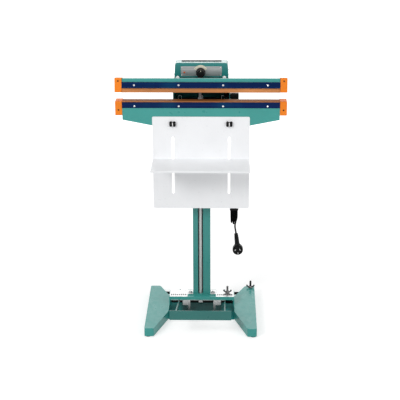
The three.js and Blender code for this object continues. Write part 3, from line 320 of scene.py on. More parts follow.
def moulded(name, color, roughness=0.42, grain=700, depth=0.0003, shine=0.25):
    """Moulded plastic or rubber with a fine tool grain and handling marks."""
    made = Finish(name, color, roughness, Specular_IOR_Level=shine)
    made.mottle((20, 4), (0.45, 0.75), 0.3, shade(color, 0.86))
    made.tint(made.both(made.edges(0.0008), made.patches((200, 3), (0.4, 0.6), 0.5)), shade(color, 1.25))
    made.gloss(made.noise(110, 4), roughness * 0.85, roughness * 1.2)
    made.relief(made.noise(grain, 2), depth, 0.2)


def coated_cloth(name, color):
    """Coated glass cloth: a plain weave, with heat marks that run along the jaw, and painted shade on its tops."""
    made = Finish(name, color, 0.6, Specular_IOR_Level=0.15)
    weave = made.both(made.bands("X", 0.0009), made.bands("Y", 0.0009), "ADD")
    made.tint(made.span(weave, 0.6, 1.6, 0, 0.35), shade(color, 0.72))
    made.mottle((26, 4, (0.15, 1, 1)), (0.42, 0.7), 0.65, shade(color, 1.28))
    made.mottle((90, 4, (0.3, 1, 1)), (0.6, 0.75), 0.35, shade(color, 0.6))
    # Painted shade: faces that look up, such as the lower cloth's top under the upper jaw, are tinted darker
    # brown.
    made.tint(made.facing_up(0.5, 0.9, 0.8), (0.54, 0.33, 0.15))
    made.relief(weave, 0.0002, 0.35)


def laminations(name):
    made = Finish(name, (0.34, 0.25, 0.18), 0.5, Metallic=0.6)
    leaves = made.bands("X", 0.0012, "SAW")
    made.tint(made.span(leaves, 0.7, 1.0, 0, 0.8), (0.1, 0.08, 0.07))
    made.mottle((40, 4), (0.5, 0.8), 0.5, (0.5, 0.3, 0.15))
    made.relief(leaves, 0.0002, 0.5)


def circuit_board(name):
    made = Finish(name, (0.1, 0.34, 0.18), 0.35, Coat_Weight=0.5)
    tracks = made.both(made.span(made.bands("X", 0.006), 0.8, 0.85), made.patches((120, 1), (0.5, 0.52), 1))
    made.tint(tracks, (0.62, 0.55, 0.25))
    made.mottle((60, 2), (0.6, 0.7), 0.4, (0.05, 0.22, 0.12))
    made.relief(tracks, 0.0002, 0.4)


def lens(name):
    made = Finish(name, (0.93, 0.36, 0.12), 0.12, Transmission_Weight=0.35, Coat_Weight=0.6)
    made.mottle((300, 2), (0.4, 0.7), 0.4, (0.98, 0.55, 0.2))
    made.relief(made.bands("Z", 0.0008), 0.0001, 0.3)


def make_finishes():
    paint = settings("paint")
    enamel("Enamel", paint.enamel)
    enamel("Dark enamel", paint.dark_enamel)
    # A darker copy of the enamel: painted shade on the pedal, which wears the same paint.
    enamel("Pedal enamel", shade(paint.enamel, 0.74))
    # The pan's paint is the dark enamel made lighter: painted light on a part that sits in shade.
    pan_enamel("Pan enamel", shade(paint.dark_enamel, 1.15))
    # A darker copy of the enamel: painted shade on the column under the tray.
    enamel("Column enamel", shade(paint.enamel, 0.9))
    # Dark enamel with a painted glare on its top.
    enamel("Cover enamel", paint.dark_enamel, 0.72)
    # Enamel with a painted glare on its top.
    enamel("Carrier enamel", paint.enamel, 0.7)
    anodised("Blue rail", paint.rail)
    powder_coat("Tray paint", paint.tray)
    moulded("Orange plastic", paint.cap, 0.42, shine=0.1)
    moulded("Black plastic", paint.black, 0.3, shine=0.14)
    moulded("Black rubber", grey(20), 0.75, 500, 0.0005)
    moulded("Cord jacket", grey(7), 0.6, 260, 0.0001, 0.02)
    moulded("Silicone", (0.55, 0.24, 0.17), 0.6)
    moulded("Dial plate", paint.dial, 0.35)
    moulded("Dial ink", grey(22), 0.5)
    coated_cloth("Release cloth", paint.cloth)
    metal("Bare plate", 184, 0.38, (0.02, 1, 1))
    metal("Bright zinc", 222, 0.4, (1, 1, 1), 260)
    metal("Aluminium", 172, 0.35, (0.02, 1, 1))
    metal("Bright steel", 205, 0.2, (1, 1, 0.03))
    metal("Rod steel", 198, 0.38, (1, 1, 0.03), metallic=0.4)
    metal("Zinc plate", 190, 0.32, (1, 1, 0.2), 300)
    metal("Dull zinc", 104, 0.22, (1, 1, 0.2), 300)
    metal("Screw steel", 225, 0.18, (0.2, 1, 1))
    metal("Black steel", 40, 0.4, (0.03, 1, 1))
    laminations("Transformer iron")
    circuit_board("Circuit board")
    lens("Lamp lens")


# Places


def box_mm(node):
    """The lowest and the highest corner of a node."""
    return [Vector([value / MM for value in corner]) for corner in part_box(node)]


def middle_mm(node):
    low, high = box_mm(node)
    return (low + high) / 2


def spot(axis, along, u, v):
    """A point from its place along an axis and its two other coordinates, in the order of x, y and z."""
    values = [u, v]
    values.insert("xyz".index(axis), along)
    return Vector(values)


def opened():
    """From the closed jaw, in which the upper pieces are drawn, to the open one."""
    hinge = Vector(JOINTS["jaw_hinge"]["pos_m"])
    angle = math.radians(JOINTS["jaw_hinge"]["range_deg"][1])
    return Matrix.Translation(hinge) @ Matrix.Rotation(-angle, 4, "X") @ Matrix.Translation(-hinge)


# Mesh making


def put(name, data):
    """A new object in the scene, at the origin."""
    obj = bpy.data.objects.new(name, data)
    bpy.context.scene.collection.objects.link(obj)
    return obj


def smoothed(mesh, angle=40.0):
    """Shades a mesh smooth up to an angle."""
    mesh.shade_smooth()
    mesh.set_sharp_from_angle(angle=math.radians(angle))
    return mesh


def link(name, bm, smooth=40.0):
    """A new object from a bmesh, smooth up to an angle."""
    mesh = bpy.data.meshes.new(name)
    bm.to_mesh(mesh)
    bm.free()
    return put(name, smoothed(mesh, smooth))


def result(obj):
    """What an object's modifiers or its curve make, as a plain mesh."""
    return bpy.data.meshes.new_from_object(obj.evaluated_get(bpy.context.evaluated_depsgraph_get()))


def rounded(obj, width_mm):
    """Rounds the edges of a piece that are sharper than 30 degrees."""
    bevel = obj.modifiers.new("Edges", "BEVEL")
    bevel.width = width_mm * MM
    bevel.segments = settings("edges").segments
    bevel.limit_method = "ANGLE"
    bevel.angle_limit = math.radians(30)
    bevel.harden_normals = True
    return obj


def placed(obj, matrix):
    """Puts a turn or shift into the mesh, and leaves the object at the origin."""
    obj.data.transform(matrix)
    return obj


def coat(data, finish):
    data.materials.clear()
    data.materials.append(bpy.data.materials[finish])


def dress(obj, finish, body="stand"):
    """Gives a piece its finish, and the body that it belongs to."""
    coat(obj.data, finish)
    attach(obj, body)


def stand_in(obj, finish, *nodes, slot=None):
    """Dresses a piece that stands for nodes, with the body of the first one."""
    dress(obj, finish, BODIES[nodes[0]])
    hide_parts(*nodes)
    return obj


def softened(node, width_mm, finish):
    """A node's own shape with its edges rounded, in place of the faceted solid."""
    bm = bmesh.new()
    bm.from_mesh(frame["nodes"][node].data)
    bmesh.ops.remove_doubles(bm, verts=bm.verts, dist=2e-6)
    bmesh.ops.dissolve_limit(bm, angle_limit=math.radians(1), verts=bm.verts, edges=bm.edges)
    return stand_in(rounded(link(node + "_formed", bm), width_mm), finish, node)


def turned(name, axis, centre_mm, profile, sides=48, ring=False):
    """A lathe piece. The profile holds (place along the axis, radius) pairs in mm from the centre."""
    bm = bmesh.new()
    centre = Vector(centre_mm)
    turns = [2 * math.pi * i / sides for i in range(sides)]
    rings = []
    for along, radius in profile:
        spots = [(math.cos(t), math.sin(t)) for t in turns] if radius > 0 else [(0.0, 0.0)]
        points = [centre + spot(axis, along, radius * u, radius * v) for u, v in spots]
        rings.append([bm.verts.new(point * MM) for point in points])
    if ring:
        rings.append(rings[0])
    for first, second in zip(rings, rings[1:]):
        for i in range(sides):
            around = ((first, i), (first, i + 1), (second, i + 1), (second, i))
            corners = list(dict.fromkeys(row[j % len(row)] for row, j in around))
            if len(corners) > 2:
                bm.faces.new(corners)
    bmesh.ops.recalc_face_normals(bm, faces=bm.faces)
    return link(name, bm, 35)


def sawn(name, axis, outline_mm, start_mm, end_mm):
    """A flat outline swept along an axis: (y, z) points for x, (x, z) for y and (x, y) for z, in mm."""
    bm = bmesh.new()
    first, last = [[bm.verts.new(spot(axis, along, u, v) * MM) for u, v in outline_mm]
                   for along in (start_mm, end_mm)]
    bm.faces.new(first)
    bm.faces.new(last)
    for i in range(len(outline_mm)):
        j = (i + 1) % len(outline_mm)
        bm.faces.new([first[i], first[j], last[j], last[i]])
    bmesh.ops.recalc_face_normals(bm, faces=bm.faces)
    return link(name, bm)


def slab(name, axis, width_mm, height_mm, start_mm, end_mm):
    """A rectangle of two (low, high) pairs swept along an axis."""
    (left, right), (bottom, top) = width_mm, height_mm
    return sawn(name, axis, [(left, bottom), (right, bottom), (right, top), (left, top)], start_mm, end_mm)


def arc(centre, radius, start, end, steps):
    """Points on an arc, in degrees."""
    turns = [math.radians(start + (end - start) * i / steps) for i in range(steps + 1)]
    return [(centre[0] + radius * math.cos(t), centre[1] + radius * math.sin(t)) for t in turns]


def oval(x, z, half, radius, steps):
    """An outline of two half circles, above and below a place."""
    return arc((x, z + half), radius, 0, 180, steps) + arc((x, z - half), radius, 180, 360, steps)


def mirrored(profile):
    """A profile and its mirror image."""
    return profile + [(-along, radius) for along, radius in reversed(profile)]


def groove(start, slope, flat, radius, depth):
    """Profile of a groove with sloping sides."""
    return [(start, radius), (start + slope, radius - depth), (start + slope + flat, radius - depth),
            (start + 2 * slope + flat, radius)]


def thread(start, end, radius, pitch):
    """Profile of the ridges between two places."""
    count = int((end - start) / pitch)
    step = (end - start) / count
    points = []
    for i in range(count):
        points.append((start + i * step, radius - 0.45 * step))
        points.append((start + (i + 0.5) * step, radius))
    return points + [(end, radius - 0.45 * step)]


def clip_pin(node, finish, chamfer, clip, sides=48):
    """A node's round pin along X, with a groove for a clip (place, width, depth) near each end."""
    low, high = box_mm(node)
    radius = (high.z - low.z) / 2
    place, width, depth = clip
    profile = [(low.x, 0), (low.x, radius - chamfer), (low.x + chamfer, radius)]
    profile += groove(-place, 0, width, radius, depth)
    stand_in(turned(node + "_turned", "x", (low + high) / 2, mirrored(profile), sides), finish, node)


def joined(name, *objects):
    """Several meshes of one finish as one piece."""
    bm = bmesh.new()
    meshes = [result(obj) for obj in objects]
    for made in meshes:
        bm.from_mesh(made)
        bpy.data.meshes.remove(made)
    for obj in objects:
        bpy.data.objects.remove(obj)
    mesh = bpy.data.meshes.new(name)
    bm.to_mesh(mesh)
    bm.free()
    return put(name, mesh)


# Geometry Nodes


def node_tree(name, **inputs):
    """A tree with named inputs, and the outputs of its input node."""
    tree = bpy.data.node_groups.new(name, "GeometryNodeTree")
    for label, kind in {"Geometry": "Geometry", **inputs, "Material": "Material"}.items():
        tree.interface.new_socket(label, in_out="INPUT", socket_type="NodeSocket" + kind)
    tree.interface.new_socket("Geometry", in_out="OUTPUT", socket_type="NodeSocketGeometry")
    return tree, tree.nodes.new("NodeGroupInput").outputs


def finish_tree(tree, geometry, given):
    real = add_node(tree, "GeometryNodeRealizeInstances", {"Geometry": geometry}).outputs["Geometry"]
    skin = add_node(tree, "GeometryNodeSetMaterial", {"Geometry": real, "Material": given["Material"]})
    add_node(tree, "NodeGroupOutput", {"Geometry": skin.outputs["Geometry"]})
    return tree


def copies_tree():
    """Copies of a small piece: each a step further along and a turn further round."""
    tree, given = node_tree("Copies", Count="Int", Start="Vector", Step="Vector", Turn="Vector")
    line = add_node(tree, "GeometryNodeMeshLine", {
        "Count": given["Count"], "Start Location": given["Start"], "Offset": given["Step"]}, mode="OFFSET")
    index = add_node(tree, "GeometryNodeInputIndex").outputs["Index"]
    turn = add_node(tree, "ShaderNodeVectorMath", {0: given["Turn"], "Scale": index}, operation="SCALE")
    spots = add_node(tree, "GeometryNodeInstanceOnPoints", {
        "Points": line.outputs["Mesh"], "Instance": given["Geometry"], "Rotation": turn.outputs["Vector"]})
    return finish_tree(tree, spots.outputs["Instances"], given)


def coil_tree():
    """A helical wire of a given radius, height and number of turns."""
    tree, given = node_tree(
        "Coil", Turns="Float", Radius="Float", Height="Float", Wire="Float", Start="Vector")
    spiral = add_node(tree, "GeometryNodeCurveSpiral", {
        "Resolution": 24, "Rotations": given["Turns"], "Start Radius": given["Radius"],
        "End Radius": given["Radius"], "Height": given["Height"]})
    ring = add_node(tree, "GeometryNodeCurvePrimitiveCircle", {"Resolution": 8, "Radius": given["Wire"]})
    tube = add_node(tree, "GeometryNodeCurveToMesh", {
        "Curve": spiral.outputs["Curve"], "Profile Curve": ring.outputs["Curve"], "Fill Caps": True})
    shift = add_node(tree, "GeometryNodeTransform", {
        "Geometry": tube.outputs["Mesh"], "Translation": given["Start"]})
    return finish_tree(tree, shift.outputs["Geometry"], given)


def grown(obj, tree, **values):
    """Runs a tree on an object and keeps its result as a plain mesh."""
    modifier = obj.modifiers.new("Grow", "NODES")
    modifier.node_group = tree
    for socket in tree.interface.items_tree:
        if socket.in_out == "INPUT" and socket.name in values:
            modifier[socket.identifier] = values[socket.name]
    mesh = result(obj)
    obj.modifiers.clear()
    obj.data = smoothed(mesh)
    return obj


def repeated(obj, finish, count, start_mm, step_mm=(0, 0, 0), turn=(0, 0, 0)):
    tree = bpy.data.node_groups.get("Copies") or copies_tree()
    return grown(obj, tree, Count=count, Start=Vector(start_mm) * MM, Step=Vector(step_mm) * MM,
                 Turn=Vector(turn), Material=bpy.data.materials[finish])


def spread(obj, finish, count, half, y, z):
    """Copies side by side, evenly from -half to half."""
    return repeated(obj, finish, count, (-half, y, z), (2 * half / (count - 1), 0, 0))


# Fasteners, drawn at the origin


def cross_screw(name, radius):
    """A domed screw head that looks towards -Y, with a cross recess, on a washer face."""
    dome = [(-0.3, 1), (-0.5, 0.82), (-0.62, 0.5), (-0.4, 0.34), (-0.4, 0)]
    profile = [(0.25, 0), (0.25, radius)] + [(radius * along, radius * out) for along, out in dome]
    head = turned(name + "_head", "y", (0, 0, 0), profile, 24)
    long, thin = 0.62 * radius, 0.1 * radius
    arms = [slab(f"{name}_arm", "y", (-wide, wide), (-tall, tall), -0.66 * radius, -0.4 * radius)
            for wide, tall in ((thin, long), (long, thin))]
    return joined(name, head, *arms)


def hex_bolt(name, radius, height):
    """A hexagon head on a washer, standing up along Z."""
    face, rim = 1.1, 1.35 * radius
    top = height + 2.8
    washer = turned(name + "_washer", "z", (0, 0, 0), [
        (0, 0), (0, rim), (face - 0.2, rim), (face, rim - 0.1 * radius), (face, 0)], 32)
    head = turned(name + "_hex", "z", (0, 0, 0), [
        (1.0, 0), (1.0, radius), (1.0 + height, radius), (1.0 + height, 0)], 6)
    tip = turned(name + "_tip", "z", (0, 0, 0), [
        (height, 0), (height, 0.5 * radius), (top - 0.6, 0.5 * radius), (top, 0.36 * radius), (top, 0)], 20)
    return joined(name, washer, rounded(head, 0.5), tip)


# Operators


class SEALER_OT_stage(bpy.types.Operator):
    """Make the camera, the pale floor and the soft light"""

    bl_idname = "sealer.stage"
    bl_label = "Stage"

    eye = Vector((0.0742, -3.2804, 1.5421))
    lamp_aim = Vector((0, 0, 0.42))
    floor_grey = (0.62, 0.62, 0.62, 1)
    # The floor glows less near the sealer: a painted shade that deepens its shadow there.
    floor_reach, floor_glow = (0.35, 2.2), (0.56, 1.0)
    white = (1, 1, 1, 1)

    def lamp(self, name, place, width, height, power):
        data = bpy.data.lights.new(name, "AREA")
        data.shape = "RECTANGLE"
        data.size, data.size_y = width, height
        data.energy = power
        obj = put(name, data)
        obj.location = place
        obj.rotation_euler = (self.lamp_aim - Vector(place)).to_track_quat("-Z", "Y").to_euler()

    def camera(self, stage):
        data = bpy.data.cameras.new("Camera")
        data.lens = stage.lens
        data.sensor_width = 36
        data.clip_end = 60
        obj = put("Camera", data)
        aim = (Matrix.Rotation(stage.heading, 4, "Z") @ Matrix.Rotation(math.pi / 2 - stage.tilt, 4, "X")
               @ Matrix.Rotation(stage.roll, 4, "Z"))
        obj.matrix_world = Matrix.Translation(self.eye) @ aim
        bpy.context.scene.camera = obj

    def seen(self, tree):
        """1 where the camera, a reflection or a view through glass looks, 0 for light that bounces."""
        path = add_node(tree, "ShaderNodeLightPath").outputs
        total = path["Is Camera Ray"]
        for label in ("Is Glossy Ray", "Is Transmission Ray"):
            higher = add_node(tree, "ShaderNodeMath", {0: total, 1: path[label]}, operation="MAXIMUM")
            total = higher.outputs[0]
        return total

    def world(self, stage):
        world = bpy.context.scene.world or bpy.data.worlds.new("World")
        bpy.context.scene.world = world
        world.use_nodes = True
        tree = world.node_tree
        strength = add_node(tree, "ShaderNodeMapRange", {
            "Value": self.seen(tree), "To Min": stage.sky, "To Max": 1.0})
        background = tree.nodes["Background"].inputs
        background["Color"].default_value = self.white
        tree.links.new(strength.outputs["Result"], background["Strength"])

    def floor(self):
        """A pale floor that glows whiter with its distance from the sealer, over a reach in metres; its lower glow
        near the sealer is a painted shade around it.
        """
        bm = bmesh.new()
        bmesh.ops.create_grid(bm, x_segments=2, y_segments=2, size=16)
        obj = link("Floor", bm)
        made = Finish("Pale floor", grey(0), 1.0, Base_Color=self.floor_grey, Specular_IOR_Level=0.0,
                      Emission_Color=self.white)
        reach = made.add("VectorMath", {0: made.place}, operation="LENGTH").outputs["Value"]
        glow = made.both(self.seen(made.tree), made.span(reach, *self.floor_reach, *self.floor_glow))
        made.tree.links.new(glow, made.shader["Emission Strength"])
        coat(obj.data, "Pale floor")

    def execute(self, context):
        stage = settings("stage")
        self.camera(stage)
        self.world(stage)
        self.floor()
        self.lamp("Key", (-2.3, -2.9, 2.7), 1.2, 1.2, stage.key)
        self.lamp("Fill", (2.4, -2.2, 1.6), 2.4, 2.4, stage.fill)
        self.lamp("Back", (0, 3.6, 1.8), 2.6, 1.0, stage.back)
        context.scene.view_settings.view_transform = "Standard"
        make_finishes()
        return {"FINISHED"}


LEAD_MM = [
    (108, 85, 719.7), (108, 85, 708), (108.6, 85, 688), (111, 84.8, 655), (113.4, 84.4, 615),
    (113.2, 84, 575), (110.4, 84.2, 537), (106, 85.4, 500), (101.8, 87.4, 465), (98.6, 88.8, 432),
    (97.7, 88.8, 405), (97.7, 86.5, 380), (97.7, 83.4, 366),
]
TAIL_MM = [
    (117.6, 83.5, 345), (117.7, 86.2, 333.5), (117.6, 89, 322), (116.4, 90.4, 311),
    (112.8, 90.4, 299), (111.4, 90, 288), (112.4, 89.4, 278), (114, 89, 269), (115.2, 89, 261.1),
]
HANK_MM = Vector((107.6, 71, 357.5))
HANK_RUNS_MM = (48, 36)
HANK_STEPS = 96
FOLD_RADIUS_MM = 17.6
HANK_PITCH_MM = 6.6
WAIST_SHARE = 0.3
STAGGER_SHARE = 0.2
PLUG_MM = Vector((121.5, 89, 204))
PLUG_TILT = math.radians(6.3)


def hank_point(turn, loops):
    """One point of the hank: upright loops side by side, each stepping steadily across."""
    place = (turn + 1 / 8) % 1
    way = 1 if place < 1 / 2 else -1
    share = place % (1 / 2)
    if share <= 1 / 4:
        side, height, fold = way, way * (1 - 8 * share), 0
    else:
        bend = (share - 1 / 4) * 4 * math.pi
        side, height, fold = way * math.cos(bend), -way, -way * math.sin(bend)
    waist = math.cos(height * math.pi / 2) ** 2
    fold_turn = math.floor(turn) + (0.25 if height < 0 else 0.75)
    stagger = 1 - STAGGER_SHARE * (2 * fold_turn / loops - 1) ** 2
    up, down = HANK_RUNS_MM
    run = height * stagger * (down if height < 0 else up)
    across = (turn - loops / 2) * HANK_PITCH_MM
    depth = side * FOLD_RADIUS_MM * (1 - WAIST_SHARE * waist)
    return HANK_MM + Vector((across, depth, run + fold * FOLD_RADIUS_MM))


def eased(points, step=2.5):
    """A smooth centripetal line through the points, with a step in millimetres."""
    line = []
    padded = [2 * points[0] - points[1], *points, 2 * points[-1] - points[-2]]
    for four in zip(padded, padded[1:], padded[2:], padded[3:]):
        knots = [0.0]
        for first, second in zip(four, four[1:]):
            knots.append(knots[-1] + max((second - first).length, 1e-6) ** 0.5)
        count = max(1, round((four[2] - four[1]).length / step))
        for i in range(count):
            place = knots[1] + (knots[2] - knots[1]) * i / count
            row = four
            for spans in (((0, 1), (1, 2), (2, 3)), ((0, 2), (1, 3)), ((1, 2),)):
                row = [first.lerp(second, (place - knots[low]) / (knots[high] - knots[low]))
                       for first, second, (low, high) in zip(row, row[1:], spans)]
            line.append(row[0])
    return line + [points[-1]]


class SEALER_OT_cord(bpy.types.Operator):
    """Make the mains lead, its hank and tie, its strain relief and its plug"""

    bl_idname = "sealer.cord"
    bl_label = "Cord"

    def lead(self, facts):
        hank = [hank_point(i / HANK_STEPS, facts.loops) for i in range(HANK_STEPS * facts.loops + 1)]
        points = eased([Vector(p) for p in LEAD_MM] + hank + [Vector(p) for p in TAIL_MM])
        curve = bpy.data.curves.new("mains_lead", "CURVE")
        curve.dimensions = "3D"
        spline = curve.splines.new("POLY")
        spline.points.add(len(points) - 1)
        for knot, point in zip(spline.points, points):
            knot.co = (*(point * MM), 1)
        curve.bevel_depth = facts.diameter / 2
        curve.bevel_resolution = 4
        curve.use_fill_caps = True
        return stand_in(put("mains_lead", curve), "Cord jacket", "cord_lead", "cord_hank", "cord_tail")

    def gland(self):
        """A nut inside the wall, a grooved body outside it and an outlet that turns the cord down."""
        low, high = box_mm("cord_gland")
        inner, outer, bottom = low.x, high.x, low.z
        x, y, _ = LEAD_MM[0]
        wall, nut, hole, round_wall, neck = 92, 8.5, 5.5, 11, 6
        middle = high.z - round_wall
        profile = [
            (inner, 0), (inner, nut - 0.5), (inner + 0.5, nut), (wall - 2.5, nut), (wall - 2.5, hole),
            (wall + 0.3, hole), (wall + 0.3, round_wall - 0.4), (wall + 0.7, round_wall),
            *groove(wall + 3.4, 0.6, 0.6, round_wall, 0.8), *groove(outer - 6.4, 0.6, 0.6, round_wall, 0.7),
            (outer - 2.4, round_wall), (outer - 0.8, 10.2), (outer, 8.6), (outer, 0)]
        body = turned("body", "x", (0, y, middle), profile, 40)
        outlet = [(bottom, 0), (bottom, neck - 0.8), (bottom + 0.8, neck)]
        for start in (bottom + 3.4, bottom + 6):
            outlet += groove(start, 0.4, 0.6, neck, 0.6)
        outlet = turned("outlet", "z", (x, y, 0), outlet + [(middle, neck), (middle, 0)], 28)
        return stand_in(joined("strain_relief", body, outlet), "Black plastic", "cord_gland")

    def plug(self):
        """A round moulded body with a rim, a ribbed handle and three flat blades."""
        turn = Matrix.Translation(PLUG_MM * MM) @ Matrix.Rotation(-PLUG_TILT, 4, "Y")
        disc = turned("disc", "y", (0, 0, 0), [
            (-9.6, 0), (-9.6, 13.8), (-10.2, 14.6), (-11, 15.2), (-11, 16.5), (-10, 17.5), (-8, 17.8),
            (6, 17.8), (9, 16.3), (10.6, 13), (11, 9.4), (11, 0)], 56)
        profile = [(8, 0), (8, 10), (16, 10), (18, 9.6), (19.6, 8.3), (24, 8)]
        for start, width, radius, floor in ((44, 2.4, 7.3, 6.4), (48.4, 2.4, 7, 6.2), (52.8, 2.2, 6.7, 6)):
            end = start + width
            profile += [(start, radius), (start + 0.4, floor), (end - 0.4, floor), (end, radius - 0.2)]
        handle = turned("handle", "z", (0, 0, 0), profile + [(56.4, 6.2), (57, 5.2), (57, 0)], 36)
        grip = rounded(slab("grip", "x", (-8.8, -5.5), (-0.7, 0.7), -3.4, 3.4), 0.3)
        grips = repeated(grip, "Black plastic", 5, (0, 0.5, 25), (0, 0.09, 3.4))
        body = placed(joined("plug_body", disc, handle, grips), turn)
        stand_in(body, "Black plastic", "plug")
        blades = []
        for x, z, tilt in ((-7.9, 7, 30), (7.9, 7, -30), (0, -5, 0)):
            blade = rounded(slab("blade", "y", (-0.8, 0.8), (-3.15, 3.15), -28, -9), 0.35)
            place = Matrix.Translation(Vector((x, 0, z)) * MM)
            blades.append(placed(blade, place @ Matrix.Rotation(math.radians(tilt), 4, "Y")))
        pins = placed(joined("plug_blades", *blades), turn)
        stand_in(pins, "Screw steel", "plug", slot="bright_steel")
        return [body, pins]

    def execute(self, context):
        facts = settings("cord")
        lead = self.lead(facts)
        gland = self.gland()
        tie = softened("cord_tie", 0.35, "Black plastic")
        plug = self.plug()
        return {"FINISHED"}


class SEALER_OT_base(bpy.types.Operator):
    """Make the feet, pads, bridge, pan, brackets and pivot shaft"""

    bl_idname = "sealer.base"
    bl_label = "Base"

    def pads(self):
        profile = [(0, 0), (0, 10), (0.3, 10.6), (1, 11), (3, 11), (3, 7), (9, 6.8), (9, 0)]
        rows, nodes = [], []
        for end in ("front", "rear"):
            pair = [f"rubber_pad_{end}_{side}" for side in ("left", "right")]
            x, y, _ = middle_mm(pair[1])
            pad = turned("pad", "z", (0, 0, 0), profile, 32)
            rows.append(spread(pad, "Black rubber", 2, x, y, 0))
            nodes += pair
        stand_in(joined("rubber_pads", *rows), "Black rubber", *nodes)

    def cover_plates(self):
        """Bright thin plates on the bridge, beside the column's flange, each with a row of slots. Their pale zinc,
        and the pads on the flange, stand partly for the glare on these tops, a painted highlight; the slots are
        thin black slabs, painted shade of open slots.
        """
        bridge, flange, slots, pitch = 60, 63, 8, 6.8
        plates, rows = [], []
        for side in (-1, 1):
            outer, inner = sorted((48.4 * side, 108.4 * side)), sorted((30 * side, 48 * side))
            plates.append(slab("plate", "z", outer, (12.6, 66.4), bridge, bridge + 0.22))
            # Pale pads on the flange: a painted highlight for the glare on its top.
            plates.append(slab("pad", "z", inner, (27.4, 62), flange, flange + 0.15))
            # Each slot is a thin black slab: painted shade in place of an open slot.
            slot = slab("slot", "z", (-1.9, 1.9), (-5.5, 5.5), 0, 0.05)
            start = (sum(outer) / 2 - pitch * (slots - 1) / 2, 29, bridge + 0.2)
            rows.append(repeated(slot, "Black steel", slots, start, (pitch, 0, 0)))
        dress(joined("bridge_plates", *plates), "Bright zinc")
        dress(joined("bridge_slots", *rows), "Black steel")

    def execute(self, context):
        edges = settings("edges")
        for side in ("left", "right"):
            softened("foot_" + side, edges.pressed * 0.9, "Enamel")
        softened("bridge", edges.sheet, "Enamel")
        softened("base_pan", edges.sheet * 0.6, "Pan enamel")
        for side in ("left", "right"):
            softened("support_bracket_" + side, edges.sheet, "Zinc plate")
        self.pads()
        self.cover_plates()
        clip_pin("pivot_shaft", "Black steel", 0.8, (143, 1, 0.8))
        return {"FINISHED"}


class SEALER_OT_studs(bpy.types.Operator):
    """Make the two threaded studs and their wing nuts"""

    bl_idname = "sealer.studs"
    bl_label = "Studs and wing nuts"

    def stud(self, node, finish):
        low, high = box_mm(node)
        profile = [(low.z, 0), (low.z, 2.8), *thread(low.z + 0.6, high.z - 0.8, 3.5, 1.0),
                   (high.z, 2.6), (high.z, 0)]
        x, y, _ = (low + high) / 2
        stand_in(turned(node + "_threaded", "z", (x, y, 0), profile, 24), finish, node)

    def wing_nut(self, node):
        x, y, _ = middle_mm(node)
        z = box_mm(node)[0].z
        bore = 3.9
        hub = turned("hub", "z", (x, y, z), [
            (0, bore), (0, 6.6), (0.6, 7), (1.6, 7), (7.4, 5.2), (8, 4.6), (8, bore)], 32, ring=True)
        outline = [(bore, 1.2), (5.7, 1.0), (9.5, 3.2), (12.8, 5.2), (14.6, 7.6), (14.9, 9.8), (14, 11.8),
                   (12.2, 12.5), (10.4, 11.7), (9.2, 9.6), (7.4, 7.6), (5.2, 6.6), (bore, 6.4)]
        wings = []
        for side in (-1, 1):
            points = [(x + side * u, z + v) for u, v in outline]
            wings.append(rounded(sawn("wing", "y", points, y - 1.4, y + 1.4), 0.9))
        stand_in(joined(node + "_cast", hub, *wings), "Dull zinc", node)

    def execute(self, context):
        self.stud("level_stud", "Black steel")
        self.stud("stroke_stud", "Dull zinc")
        self.wing_nut("level_wing_nut")
        self.wing_nut("stroke_wing_nut")
        return {"FINISHED"}


class SEALER_OT_column(bpy.types.Operator):
    """Make the column and the bolts of its flange plates"""

    bl_idname = "sealer.column"
    bl_label = "Column"

    def execute(self, context):
        # The column's enamel is a darker copy of the main enamel: painted shade.
        softened("column", settings("edges").pressed * 0.6, "Column enamel")
        bolt = hex_bolt("flange_bolts", settings("fasteners").bolt, 4.2)
        dress(spread(bolt, "Zinc plate", 2, half=38.5, y=39, z=63), "Zinc plate")
        return {"FINISHED"}


class SEALER_OT_pull_rod(bpy.types.Operator):
    """Make the pull rod, its eye and nut, and the coiled return spring"""

    bl_idname = "sealer.pull_rod"
    bl_label = "Pull rod"

    def rod(self):
        """A rod with a collar, and a thread at its upper end."""
        low, high = box_mm("pull_rod")
        x, y, _ = (low + high) / 2
        base, top, collar = low.z, high.z, 600
        profile = [
            (base, 0), (base, 6.4), (base + 0.8, 7), (collar - 0.1, 7), (collar, 10), (collar + 0.6, 10.5),
            (collar + 5.4, 10.5), (collar + 6, 10), (collar + 6.1, 7), (top - 57.8, 7), (top - 57, 4.6),
            *thread(top - 56.4, top - 1, 5, 1.5), (top, 4.1), (top, 0)]
        stand_in(turned("pull_rod_turned", "z", (x, y, 0), profile, 40), "Rod steel", "pull_rod")

    def spring(self):
        low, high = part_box("return_spring")
        wire = 0.85 * MM
        bm = bmesh.new()
        bm.verts.new((0, 0, 0))
        obj = grown(
            link("return_spring_coiled", bm), coil_tree(), Turns=18.0, Radius=(high.x - low.x) / 2 - wire,
            Height=high.z - low.z - 2 * wire, Wire=wire, Start=Vector((-0.004, 0.045, low.z + wire)),
            Material=bpy.data.materials["Bright steel"])
        stand_in(obj, "Bright steel", "return_spring")
        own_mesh(obj)

    def execute(self, context):
        self.rod()
        softened("rod_eye", settings("edges").machined, "Bright steel")
        softened("rod_nut", 0.5, "Zinc plate")
        self.spring()
        return {"FINISHED"}


class SEALER_OT_pedal(bpy.types.Operator):
    """Make the pedal, its cross pin and the sleeve on it"""

    bl_idname = "sealer.pedal"
    bl_label = "Pedal"

    def execute(self, context):
        # The pedal's enamel is a darker copy of the main enamel: painted shade.
        softened("pedal_frame", settings("edges").pressed * 0.6, "Pedal enamel")
        clip_pin("pedal_cross_pin", "Black steel", 0.6, (102, 1, 0.7), 32)
        profile = [(-12, 4.3), (-12, 5.6), (-11.6, 6), *groove(-4.2, 0.2, 0.4, 6, 0.4)]
        sleeve = turned("pin_sleeve_ribbed", "x", middle_mm("pin_sleeve"), mirrored(profile), 32, ring=True)
        stand_in(sleeve, "Black rubber", "pin_sleeve")
        return {"FINISHED"}


